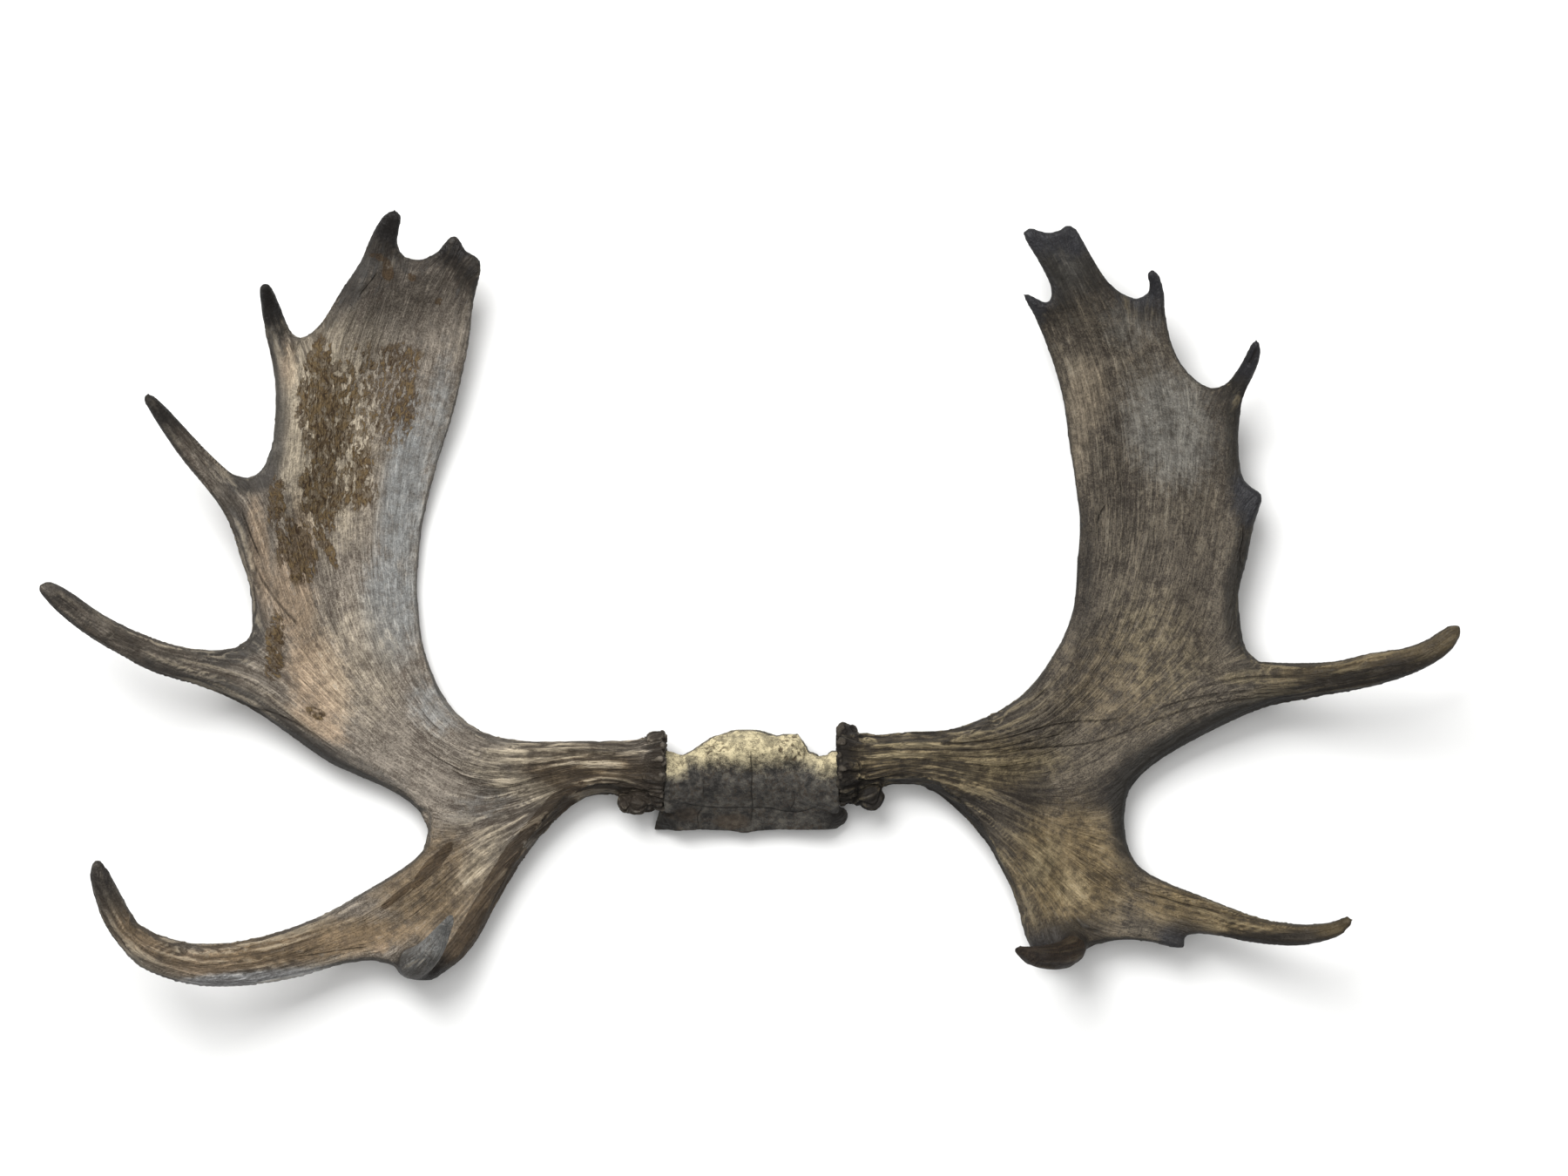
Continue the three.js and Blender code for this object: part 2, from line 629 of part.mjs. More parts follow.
/** Height of the forehead above the sawn back. */
function foreheadHeight({ x, y }, depth) {
  const slope = lerp(24, 57, ramp(y, -50, 2));
  const crest = 12 * Math.exp(-(((y - 30) / 14) ** 2)) * Math.exp(-((Math.abs(x + 3) / 48) ** 4));
  const brow = 2.5 * Math.cos(x / 8) * ramp(y, 5, 35) + 5 * ramp(Math.abs(x), 30, 60);
  const seam = 2.2 * Math.exp(-((x / 4) ** 2));
  const sawn = ramp(y, -42, -24) * ramp(66 - Math.abs(x), -4, 10) + ramp(Math.abs(x), 70, 80);
  const rounding = PLATE_EDGE_ROUNDING * (1 - Math.min(depth / PLATE_EDGE_ROUNDING, 1)) ** 2;
  return slope + crest + brow - seam - sawn * rounding;
}

/** The plate of frontal bone, flat at its back and domed in front. */
function makePlateBody() {
  const corners = PLATE_OUTLINE.map(([x, y]) => new THREE.Vector2(x, y));
  const loop = corners.flatMap((corner, index) => {
    const next = corners[(index + 1) % corners.length];
    const reach = Math.hypot(next.x - corner.x, next.y - corner.y);
    const count = Math.ceil(reach / 9);
    return Array.from({ length: count }, (_, part) => corner.clone().lerp(next, part / count));
  });
  const fill = [];
  latticeInside(loop).forEach(({ x, y, depth }) => {
    const gap = clamp(4.5 + 0.25 * depth, 5, 8);
    const isClear = fill.every((other) => Math.hypot(x - other.x, y - other.y) >= gap);
    if (depth > 3.5 && isClear) fill.push({ x, y });
  });
  const points = [...loop, ...fill];
  const front = triangulateInside(points, loop);
  const back = THREE.ShapeUtils.triangulateShape(loop, []);
  const count = points.length;
  const frontVertices = points.map((point) => {
    const { depth } = measureFromMargin(point, loop);
    return new THREE.Vector3(point.x, point.y, foreheadHeight(point, depth));
  });
  const backVertices = loop.map(({ x, y }) => new THREE.Vector3(x, y, 0));
  const walls = loop.flatMap((_, index) => {
    const next = (index + 1) % loop.length;
    return [[index, count + index, count + next], [index, count + next, next]];
  });
  const floor = back.map(([a, b, c]) => [count + a, count + c, count + b]);
  return toSolid(toGeometry([...frontVertices, ...backVertices], [...front, ...walls, ...floor]));
}

/** The stump that carries one antler, ending just short of the burr. */
function makePedicle(side) {
  const length = BURR_FACE_X - SEAM_GAP - PEDICLE_ROOT_X;
  const profile = [
    [0, 0], [PEDICLE_WAIST - 4, 0], [PEDICLE_WAIST, 0.4 * length], [PEDICLE_WAIST + 1, 0.7 * length],
    [PEDICLE_RADIUS, 0.9 * length], [PEDICLE_RADIUS, length], [0, length],
  ].map(([reach, along]) => new THREE.Vector2(reach, along));
  const geometry = new THREE.LatheGeometry(profile, 22);
  geometry.rotateZ((-side * Math.PI) / 2);
  geometry.translate(side * PEDICLE_ROOT_X, PEDICLE_Y, AXIS_HEIGHT - 1);
  return toSolid(geometry);
}

/** Skull plate with both pedicles. */
function makeSkullPlate() {
  return makePlateBody().add(makePedicle(-1)).add(makePedicle(1));
}

// ---- Assembly ---------------------------------------------------------------------------

/** A named mesh of one solid in its own bone colour. */
function makeNode(name, solid, color) {
  const { numProp, vertProperties, triVerts } = solid.getMesh();
  const geometry = new THREE.BufferGeometry();
  const position = new THREE.InterleavedBuffer(vertProperties, numProp);
  geometry.setAttribute('position', new THREE.InterleavedBufferAttribute(position, 3, 0));
  geometry.setIndex(new THREE.BufferAttribute(triVerts, 1));
  const flat = geometry.toNonIndexed();
  flat.computeVertexNormals();
  const material = new THREE.MeshStandardMaterial({ color, roughness: 0.78, metalness: 0 });
  const mesh = new THREE.Mesh(flat, material);
  mesh.name = name;
  return mesh;
}

/** Both parts of one antler, split at the fork between main palm and brow palm. */
function makeAntlerNodes(antler, sideName, mainColor, browColor) {
  const whole = makeAntler(antler);
  const main = whole.intersect(halfBeyond(antler.forkY, 1));
  const brow = whole.intersect(halfBeyond(antler.forkY, -1));
  return [
    makeNode(`${sideName}_main_palm`, main, mainColor),
    makeNode(`${sideName}_brow_palm`, brow, browColor),
  ];
}

const antlers = new THREE.Group();
antlers.add(
  makeNode('skull_plate', makeSkullPlate(), BONE_COLOURS.plate),
  ...makeAntlerNodes(LEFT_ANTLER, 'left', BONE_COLOURS.leftMain, BONE_COLOURS.leftBrow),
  ...makeAntlerNodes(RIGHT_ANTLER, 'right', BONE_COLOURS.rightMain, BONE_COLOURS.rightBrow),
);

export default antlers;
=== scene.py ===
"""Looks of a pair of moose antlers on a sawn skull plate, lying on their backs.

The frame's solids give each piece its form. Each antler is skinned as one piece, its facets
are smoothed, and ridges, grooves and pearls are raised along the lines in which it grew, from
the burr to the tips of its tines. Lengths in the code are millimetres, unless a name says m.
"""

from __future__ import annotations

import logging
import math
from dataclasses import dataclass
from enum import Enum

import bmesh
import bpy
import numpy as np
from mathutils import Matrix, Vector


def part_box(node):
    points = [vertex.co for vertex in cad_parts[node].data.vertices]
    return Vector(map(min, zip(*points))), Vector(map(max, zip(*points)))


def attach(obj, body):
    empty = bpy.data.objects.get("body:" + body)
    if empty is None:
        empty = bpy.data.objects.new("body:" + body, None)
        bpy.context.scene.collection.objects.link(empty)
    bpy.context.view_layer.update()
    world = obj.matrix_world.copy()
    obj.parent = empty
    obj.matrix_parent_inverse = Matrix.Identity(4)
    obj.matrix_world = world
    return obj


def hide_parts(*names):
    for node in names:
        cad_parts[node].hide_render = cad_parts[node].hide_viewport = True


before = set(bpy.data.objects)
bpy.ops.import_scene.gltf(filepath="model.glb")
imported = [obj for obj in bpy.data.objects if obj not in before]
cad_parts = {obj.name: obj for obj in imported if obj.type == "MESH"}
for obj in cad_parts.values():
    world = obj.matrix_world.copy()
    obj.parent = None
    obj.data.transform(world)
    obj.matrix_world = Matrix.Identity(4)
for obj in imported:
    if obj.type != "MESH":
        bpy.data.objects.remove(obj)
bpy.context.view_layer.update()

LOG = logging.getLogger("antlers")
MM = 0.001


class Side(Enum):
    """Which antler, as seen from above with the palms pointing up the view."""

    LEFT = -1
    RIGHT = 1


# ---- Numbers ----------------------------------------------------------------------------


def ramp(value: np.ndarray, start: float, end: float) -> np.ndarray:
    """Smooth step from 0 at start to 1 at end.

    Args:
        value: Numbers to map.
        start: Where the result is 0.
        end: Where the result is 1.

    Returns:
        The mapped numbers, each from 0 to 1.
    """
    share = np.clip((value - start) / (end - start), 0.0, 1.0)
    return share * share * (3.0 - 2.0 * share)


def linear(code: str) -> tuple[float, float, float, float]:
    """Linear colour of a hexadecimal screen colour.

    Args:
        code: Six hexadecimal digits.

    Returns:
        Red, green, blue and alpha for a shader socket.
    """
    parts = [int(code[index : index + 2], 16) / 255 for index in (0, 2, 4)]
    red, green, blue = (
        part / 12.92 if part <= 0.04045 else ((part + 0.055) / 1.055) ** 2.4 for part in parts
    )
    return red, green, blue, 1.0


class LatticeNoise:
    """Repeatable gradient noise in three dimensions, about -1 to 1."""

    def __init__(self, seed: int) -> None:
        """Draws the lattice.

        Args:
            seed: Start of the random draws.
        """
        rng = np.random.default_rng(seed)
        self._order = rng.permutation(256)
        spokes = rng.normal(size=(256, 3))
        self._spokes = spokes / np.linalg.norm(spokes, axis=1, keepdims=True)

    def at(self, points: np.ndarray) -> np.ndarray:
        """Noise at points of the lattice's own space.

        Args:
            points: One row of three numbers a point.

        Returns:
            One number a point.
        """
        corner = np.floor(points).astype(int)
        inside = points - corner
        fade = inside**3 * (inside * (inside * 6 - 15) + 10)
        total = np.zeros(len(points))
        for step in np.ndindex(2, 2, 2):
            place = corner + step
            number = self._order[place[:, 0] & 255]
            number = self._order[(number + place[:, 1]) & 255]
            number = self._order[(number + place[:, 2]) & 255]
            slope = ((inside - step) * self._spokes[number]).sum(1)
            total += slope * np.where(step, fade, 1 - fade).prod(1)
        return 1.6 * total


# ---- Growth over the plan of an antler ---------------------------------------------------


@dataclass(frozen=True)
class Tip:
    """The end of a tine, its share of the growth, how far back it reaches, and how dark it is."""

    x: float
    y: float
    share: float
    tine: float
    darkness: float = 1.0


def settle(open_x: np.ndarray, open_y: np.ndarray, source: np.ndarray) -> np.ndarray:
    """Potential on a grid whose open links carry a source away, by conjugate gradients.

    Args:
        open_x: Whether each link along the first axis is open.
        open_y: Whether each link along the second axis is open.
        source: What enters at each place; it adds up to nothing.

    Returns:
        The potential at each place.
    """

    def outflow(values: np.ndarray) -> np.ndarray:
        """What leaves each place along its open links.

        Args:
            values: The potential of each cell.

        Returns:
            What flows out of each cell.
        """
        result = np.zeros_like(values)
        run = np.where(open_x, values[1:] - values[:-1], 0.0)
        result[:-1] -= run
        result[1:] += run
        rise = np.where(open_y, values[:, 1:] - values[:, :-1], 0.0)
        result[:, :-1] -= rise
        result[:, 1:] += rise
        return result

    most_rounds, settled = 1500, 1e-10
    potential = np.zeros_like(source)
    rest = source.copy()
    step = rest.copy()
    size = first = (rest**2).sum()
    for _ in range(most_rounds):
        push = outflow(step)
        stride = size / (step * push).sum()
        potential += stride * step
        rest -= stride * push
        grown = (rest**2).sum()
        if grown < settled * first:
            break
        step = rest + grown / size * step
        size = grown
    return potential


class GrowthField:
    """How an antler grew, seen from above: along from the burr, and across that.

    Along and across are the potential and the stream function of an even flow that enters at
    the burr and leaves at the tips, so lines of equal across run with the grain of the bone.
    """

    cell = 2.5
    border = 6
    beam_width = 48.0
    burr_depth = 6.0
    least_density, most_density = 0.06, 2.0
    depth_cells = 40
    along_rounds, across_rounds, density_rounds, depth_rounds = 5, 9, 36, 2

    def __init__(self, plan: np.ndarray, burr_x: float, tips: tuple[Tip, ...]) -> None:
        """Solves the flow.

        Args:
            plan: Points of the antler's skin, x and y.
            burr_x: The x of the burr's face.
            tips: Where the flow leaves.
        """
        self._corner = plan.min(0) - self.border * self.cell
        places = np.floor((plan - self._corner) / self.cell).astype(int)
        count = places.max(0) + 1 + self.border
        inside = np.zeros(count, bool)
        inside[places[:, 0], places[:, 1]] = True
        self._inside = self._close(inside)
        centres = [
            self._corner[axis] + (np.arange(count[axis]) + 0.5) * self.cell for axis in (0, 1)
        ]
        self._x, self._y = np.meshgrid(*centres, indexing="ij")
        self._solve(self._source(burr_x, tips))
        self._depth = self._measure_depth()

    @staticmethod
    def _close(inside: np.ndarray) -> np.ndarray:
        """Fills pinholes of a mask.

        Args:
            inside: Cells inside the outline.

        Returns:
            The same cells with their gaps closed.
        """
        wide = inside.copy()
        for axis in (0, 1):
            wide |= np.roll(wide, 1, axis) | np.roll(wide, -1, axis)
        narrow = wide.copy()
        for axis in (0, 1):
            narrow &= np.roll(narrow, 1, axis) & np.roll(narrow, -1, axis)
        return narrow | inside

    def _source(self, burr_x: float, tips: tuple[Tip, ...]) -> np.ndarray:
        """What enters at the burr and leaves at each tip.

        Args:
            burr_x: How far the burrs stand from the middle.
            tips: The tine ends.

        Returns:
            Flow into each cell, negative where it leaves.
        """
        edge = self._inside & ~self._narrower(self._inside)
        face = edge & (np.abs(self._x) < abs(burr_x) + self.burr_depth)
        source = np.where(face, self.beam_width / face.sum(), 0.0)
        total = sum(tip.share for tip in tips)
        for tip in tips:
            distance = np.hypot(self._x - tip.x, self._y - tip.y)
            distance = np.where(edge, distance, np.inf)
            near = distance < distance.min() + 2 * self.cell
            leaving = self.beam_width * tip.share / total / near.sum()
            source = source - np.where(near, leaving, 0.0)
        return source

    def _solve(self, source: np.ndarray) -> None:
        """Finds along, across and the density of growth lines.

        Args:
            source: Flow into each cell.
        """
        inside, known = self._inside, source == 0
        potential = settle(inside[1:] & inside[:-1], inside[:, 1:] & inside[:, :-1], source)

        shape = (inside.shape[0] + 1, inside.shape[1] + 1)
        link_x = np.zeros((shape[0] - 1, shape[1]), bool)
        link_y = np.zeros((shape[0], shape[1] - 1), bool)
        wanted_x = np.zeros(link_x.shape)
        wanted_y = np.zeros(link_y.shape)
        both = inside[1:] & inside[:-1]
        one = (inside[1:] ^ inside[:-1]) & known[1:] & known[:-1]
        link_y[1:-1] = both | one
        wanted_y[1:-1] = np.where(both, potential[:-1] - potential[1:], 0.0)
        both = inside[:, 1:] & inside[:, :-1]
        one = (inside[:, 1:] ^ inside[:, :-1]) & known[:, 1:] & known[:, :-1]
        link_x[:, 1:-1] = both | one
        wanted_x[:, 1:-1] = np.where(both, potential[:, 1:] - potential[:, :-1], 0.0)
        demand = np.zeros(shape)
        demand[1:] += wanted_x
        demand[:-1] -= wanted_x
        demand[:, 1:] += wanted_y
        demand[:, :-1] -= wanted_y
        stream = settle(link_x, link_y, demand)
        linked = np.zeros(shape, bool)
        linked[1:] |= link_x
        linked[:-1] |= link_x
        linked[:, 1:] |= link_y
        linked[:, :-1] |= link_y

        slope_x, slope_y = np.gradient(-potential, self.cell)
        self._along = self._even_out(-potential, inside, self.along_rounds)
        self._across = self._even_out(stream, linked, self.across_rounds)
        density, sure = np.hypot(slope_x, slope_y), self._narrower(inside)
        density = self._even_out(density, sure, self.density_rounds)
        self._density = np.clip(density, self.least_density, self.most_density)

    @staticmethod
    def _narrower(mask: np.ndarray) -> np.ndarray:
        """Cells whose four neighbours are in the mask too.

        Args:
            mask: Cells.

        Returns:
            The cells with all four neighbours among them.
        """
        result = mask.copy()
        for axis in (0, 1):
            for way in (1, -1):
                result &= np.roll(mask, way, axis)
        return result

    @staticmethod
    def _even_out(values: np.ndarray, sure: np.ndarray, rounds: int) -> np.ndarray:
        """Blurs the sure cells into each other and beyond them.

        Args:
            values: The grid's values.
            sure: Which of them count.
            rounds: Number of passes.

        Returns:
            The blurred grid.
        """
        weight = sure.astype(float)
        total = values * weight
        for _ in range(rounds):
            total, weight = (
                (grid + sum(np.roll(grid, way, axis) for axis in (0, 1) for way in (1, -1))) / 5
                for grid in (total, weight)
            )
        return total / np.maximum(weight, 1e-9)

    def _measure_depth(self) -> np.ndarray:
        """How far each cell lies behind the margin.

        Returns:
            Distance from the margin for each cell.
        """
        depth = np.zeros(self._inside.shape)
        left = self._inside.copy()
        for turn in range(self.depth_cells):
            depth += np.where(left, self.cell, 0.0)
            smaller = self._narrower(left)
            if turn % 2:
                for way in (1, -1):
                    smaller &= np.roll(np.roll(left, 1, 0), way, 1)
                    smaller &= np.roll(np.roll(left, -1, 0), way, 1)
            left = smaller
        return self._even_out(depth, np.ones(depth.shape, bool), self.depth_rounds)

    def _sample(self, grid: np.ndarray, plan: np.ndarray, offset: float) -> np.ndarray:
        """Reads a grid between its places.

        Args:
            grid: A value for each cell.
            plan: Points, x and y.
            offset: Where the grid's values lie within a cell.

        Returns:
            The grid's value at each point.
        """
        place = (plan - self._corner) / self.cell - offset
        low = np.clip(np.floor(place).astype(int), 0, np.array(grid.shape) - 2)
        share = np.clip(place - low, 0.0, 1.0)
        i, j = low.T
        u, v = share.T
        front = grid[i, j] * (1 - u) + grid[i + 1, j] * u
        back = grid[i, j + 1] * (1 - u) + grid[i + 1, j + 1] * u
        return front * (1 - v) + back * v

    def along(self, plan: np.ndarray) -> np.ndarray:
        """How far along the growth each point lies."""
        return self._sample(self._along, plan, 0.5)

    def across(self, plan: np.ndarray) -> np.ndarray:
        """Which line of growth each point lies on."""
        return self._sample(self._across, plan, 0.0)

    def density(self, plan: np.ndarray) -> np.ndarray:
        """How closely the lines of growth lie at each point, 1 in the beam."""
        return self._sample(self._density, plan, 0.5)

    def depth(self, plan: np.ndarray) -> np.ndarray:
        """How far each point lies behind the margin."""
        return self._sample(self._depth, plan, 0.5)


# ---- Marks on the bone -------------------------------------------------------------------


@dataclass(frozen=True)
class Patch:
    """A soft oval mark, its middle, half-lengths, turn in degrees and strength."""

    x: float
    y: float
    reach_x: float
    reach_y: float
    turn: float = 0.0
    strength: float = 1.0

    def cover(self, plan: np.ndarray) -> np.ndarray:
        """How strongly the mark covers each point.

        Args:
            plan: Points, x and y.

        Returns:
            Strength at the middle, half of it at the oval's edge, 0 well outside.
        """
        angle = math.radians(self.turn)
        dx, dy = plan[:, 0] - self.x, plan[:, 1] - self.y
        run = (dx * math.cos(angle) + dy * math.sin(angle)) / self.reach_x
        rise = (dy * math.cos(angle) - dx * math.sin(angle)) / self.reach_y
        return self.strength * (1 - ramp(np.hypot(run, rise), 0.45, 1.55))


def patches(*rows: tuple[float, ...]) -> tuple[Patch, ...]:
    """Marks from rows of middle, half-lengths, turn and strength."""
    return tuple(Patch(*row) for row in rows)


def cover_all(marks: tuple[Patch, ...], plan: np.ndarray) -> np.ndarray:
    """The strongest cover of several marks.

    Args:
        marks: The marks.
        plan: Points, x and y.

    Returns:
        Cover at each point, 0 to 1.
    """
    covers = [mark.cover(plan) for mark in marks]
    return np.max(covers, axis=0) if covers else np.zeros(len(plan))


@dataclass(frozen=True)
class Crack:
    """A narrow line in the surface through plan points, with its half-width."""

    points: tuple[tuple[float, float], ...]
    half_width: float = 0.9
    farthest: float = 6.0

    def measure(self, plan: np.ndarray) -> tuple[np.ndarray, np.ndarray]:
        """Signed distance in half-widths, and how present the line is.

        Args:
            plan: Points, x and y.

        Returns:
            The distance, with its sign telling the side, and the presence from 0 to 1.
        """
        best = np.full(len(plan), np.inf)
        signed = np.full(len(plan), self.farthest)
        share_along = np.zeros(len(plan))
        corners = np.array(self.points, float)
        for _ in range(2):
            first = corners[:-1] * 0.75 + corners[1:] * 0.25
            second = corners[:-1] * 0.25 + corners[1:] * 0.75
            inner = np.stack([first, second], 1).reshape(-1, 2)[1:-1]
            corners = np.concatenate([corners[:1], inner, corners[-1:]])
        for number, (start, end) in enumerate(zip(corners[:-1], corners[1:])):
            run = end - start
            length = np.hypot(*run)
            offset = plan - start
            share = np.clip(offset @ run / length**2, 0, 1)
            distance = np.hypot(*(offset - share[:, None] * run).T)
            side = np.sign(run[0] * offset[:, 1] - run[1] * offset[:, 0])
            nearer = distance < best
            best = np.where(nearer, distance, best)
            signed = np.where(nearer, side * distance / self.half_width, signed)
            share_along = np.where(nearer, (number + share) / (len(corners) - 1), share_along)
        ends = ramp(share_along, 0.0, 0.12) * (1 - ramp(share_along, 0.88, 1.0))
        signed = np.clip(signed, -self.farthest, self.farthest)
        return signed, ends * (1 - ramp(best / self.half_width, 3.0, 5.0))


def measure_cracks(cracks: tuple[Crack, ...], plan: np.ndarray) -> tuple[np.ndarray, np.ndarray]:
    """The nearest of several cracks.

    Args:
        cracks: The cracks.
        plan: Points, x and y.

    Returns:
        Signed distance in half-widths, and presence, of the nearest crack.
    """
    signed = np.full(len(plan), Crack.farthest)
    present = np.zeros(len(plan))
    for crack in cracks:
        distance, presence = crack.measure(plan)
        nearer = np.abs(distance) < np.abs(signed)
        signed = np.where(nearer, distance, signed)
        present = np.where(nearer, presence, present)
    return signed, present


# ---- The skin of a piece -----------------------------------------------------------------


class BoneSkin:
    """A closed skin of small faces, smoothed and raised in millimetres."""

    def __init__(
        self, name: str, solids: list[tuple[np.ndarray, np.ndarray]], voxel: float
    ) -> None:
        """Wraps one even skin round overlapping solids.

        Args:
            name: Name of the piece.
            solids: Corners in millimetres and faces of each solid.
            voxel: Size of the skin's faces.
        """
        corners, faces, start = [], [], 0
        for points, triangles in solids:
            corners.append(points)
            faces.append(triangles + start)
            start += len(points)
        rough = bpy.data.meshes.new(name + "_rough")
        corners_m = np.concatenate(corners) * MM
        rough.from_pydata(corners_m.tolist(), [], np.concatenate(faces).tolist())
        holder = bpy.data.objects.new(name + "_rough", rough)
        bpy.context.scene.collection.objects.link(holder)
        wrap = holder.modifiers.new("wrap", "REMESH")
        wrap.mode = "VOXEL"
        wrap.voxel_size = voxel * MM
        wrap.adaptivity = 0.0
        shown = holder.evaluated_get(bpy.context.evaluated_depsgraph_get())
        self.mesh = bpy.data.meshes.new_from_object(shown)
        self.mesh.name = name
        bpy.data.objects.remove(holder)
        bpy.data.meshes.remove(rough)
        self._read()

    def _read(self) -> None:
        """Takes points and edges from the mesh."""
        count = len(self.mesh.vertices)
        flat = np.zeros(3 * count)
        self.mesh.vertices.foreach_get("co", flat)
        self.points = flat.reshape(-1, 3) / MM
        ends = np.zeros(2 * len(self.mesh.edges), np.int32)
        self.mesh.edges.foreach_get("vertices", ends)
        self._ends = ends.reshape(-1, 2)
        self._valence = np.bincount(self._ends.ravel(), minlength=count)

    def refine(self, inside_x: float) -> None:
        """Halves the faces that lie within a distance of the middle plane.

        Args:
            inside_x: The distance.
        """
        work = bmesh.new()
        work.from_mesh(self.mesh)
        near = [
            edge
            for edge in work.edges
            if all(abs(vertex.co.x) < inside_x * MM for vertex in edge.verts)
        ]
        bmesh.ops.subdivide_edges(work, edges=near, cuts=1, use_grid_fill=True)
        work.to_mesh(self.mesh)
        work.free()
        self._read()

    def average(self, values: np.ndarray) -> np.ndarray:
        """Mean of each point's neighbours.

        Args:
            values: One row of numbers a point.

        Returns:
            The means, in the same shape.
        """
        one, other = self._ends.T
        count = len(self.points)
        columns = [
            np.bincount(one, column[other], count) + np.bincount(other, column[one], count)
            for column in values.T
        ]
        return np.stack(columns, 1) / self._valence[:, None]

    def smooth(self, rounds: int) -> None:
        """Takes off facets and keeps the volume.

        Args:
            rounds: Number of passes.
        """
        for _ in range(rounds):
            for stride in (0.5, -0.52):
                self.points += stride * (self.average(self.points) - self.points)

    def level(self, rounds: int, weight: np.ndarray) -> None:
        """Evens out heights only, which rounds a broad face without drawing it in.

        Args:
            rounds: Number of passes.
            weight: Share of the smoothing that each point gets.
        """
        height = self.points[:, 2:3]
        for _ in range(rounds):
            height += 0.5 * weight[:, None] * (self.average(height) - height)

    def melt(self, rounds: int, weight: np.ndarray) -> None:
        """Lets steps and lumps run into each other.

        Args:
            rounds: Number of passes.
            weight: Share of the smoothing that each point gets.
        """
        for _ in range(rounds):
            self.points += 0.5 * weight[:, None] * (self.average(self.points) - self.points)

    def normals(self) -> np.ndarray:
        """Outward directions at the points.

        Returns:
            A unit vector for each point.
        """
        self.mesh.vertices.foreach_set("co", (self.points * MM).ravel())
        self.mesh.update()
        flat = np.zeros(3 * len(self.points), np.float32)
        self.mesh.vertex_normals.foreach_get("vector", flat)
        return flat.reshape(-1, 3).astype(float)

    def raise_by(self, height: np.ndarray, direction: np.ndarray) -> None:
        """Moves every point along its direction.

        Args:
            height: Distance for each point.
            direction: Unit vector for each point.
        """
        self.points += height[:, None] * direction

    def keep_within(self, low: np.ndarray, high: np.ndarray) -> None:
        """Holds the points between two corners.

        Args:
            low: Lowest corner.
            high: Highest corner.
        """
        self.points = np.clip(self.points, low, high)

    def store(self, name: str, *columns: np.ndarray) -> None:
        """Keeps three numbers a point for the finish to read.

        Args:
            name: Name of the attribute.
            columns: Three columns of numbers.
        """
        values = np.stack(columns, 1).astype(np.float32)
        layer = self.mesh.attributes.new(name, "FLOAT_VECTOR", "POINT")
        layer.data.foreach_set("vector", values.ravel())

    def finish(self, material: bpy.types.Material) -> bpy.types.Object:
        """Makes the object.

        Args:
            material: Its finish.

        Returns:
            The object, linked into the scene.
        """
        self.mesh.vertices.foreach_set("co", (self.points * MM).ravel())
        self.mesh.polygons.foreach_set("use_smooth", np.ones(len(self.mesh.polygons), bool))
        self.mesh.materials.clear()
        self.mesh.materials.append(material)
        self.mesh.update()
        piece = bpy.data.objects.new(self.mesh.name, self.mesh)
        bpy.context.scene.collection.objects.link(piece)
        return piece


def solid_of(node: str) -> tuple[np.ndarray, np.ndarray]:
    """Corners in millimetres and triangles of a frame node.

    Args:
        node: Name of the node.

    Returns:
        A copy of its points and its faces.
    """
    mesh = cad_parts[node].data
    flat = np.zeros(3 * len(mesh.vertices), np.float32)
    mesh.vertices.foreach_get("co", flat)
    mesh.calc_loop_triangles()
    faces = np.zeros(3 * len(mesh.loop_triangles), np.int32)
    mesh.loop_triangles.foreach_get("vertices", faces)
    return flat.reshape(-1, 3).astype(float) / MM, faces.reshape(-1, 3)


# ---- Shader building ---------------------------------------------------------------------

Feed = "bpy.types.NodeSocket | float"


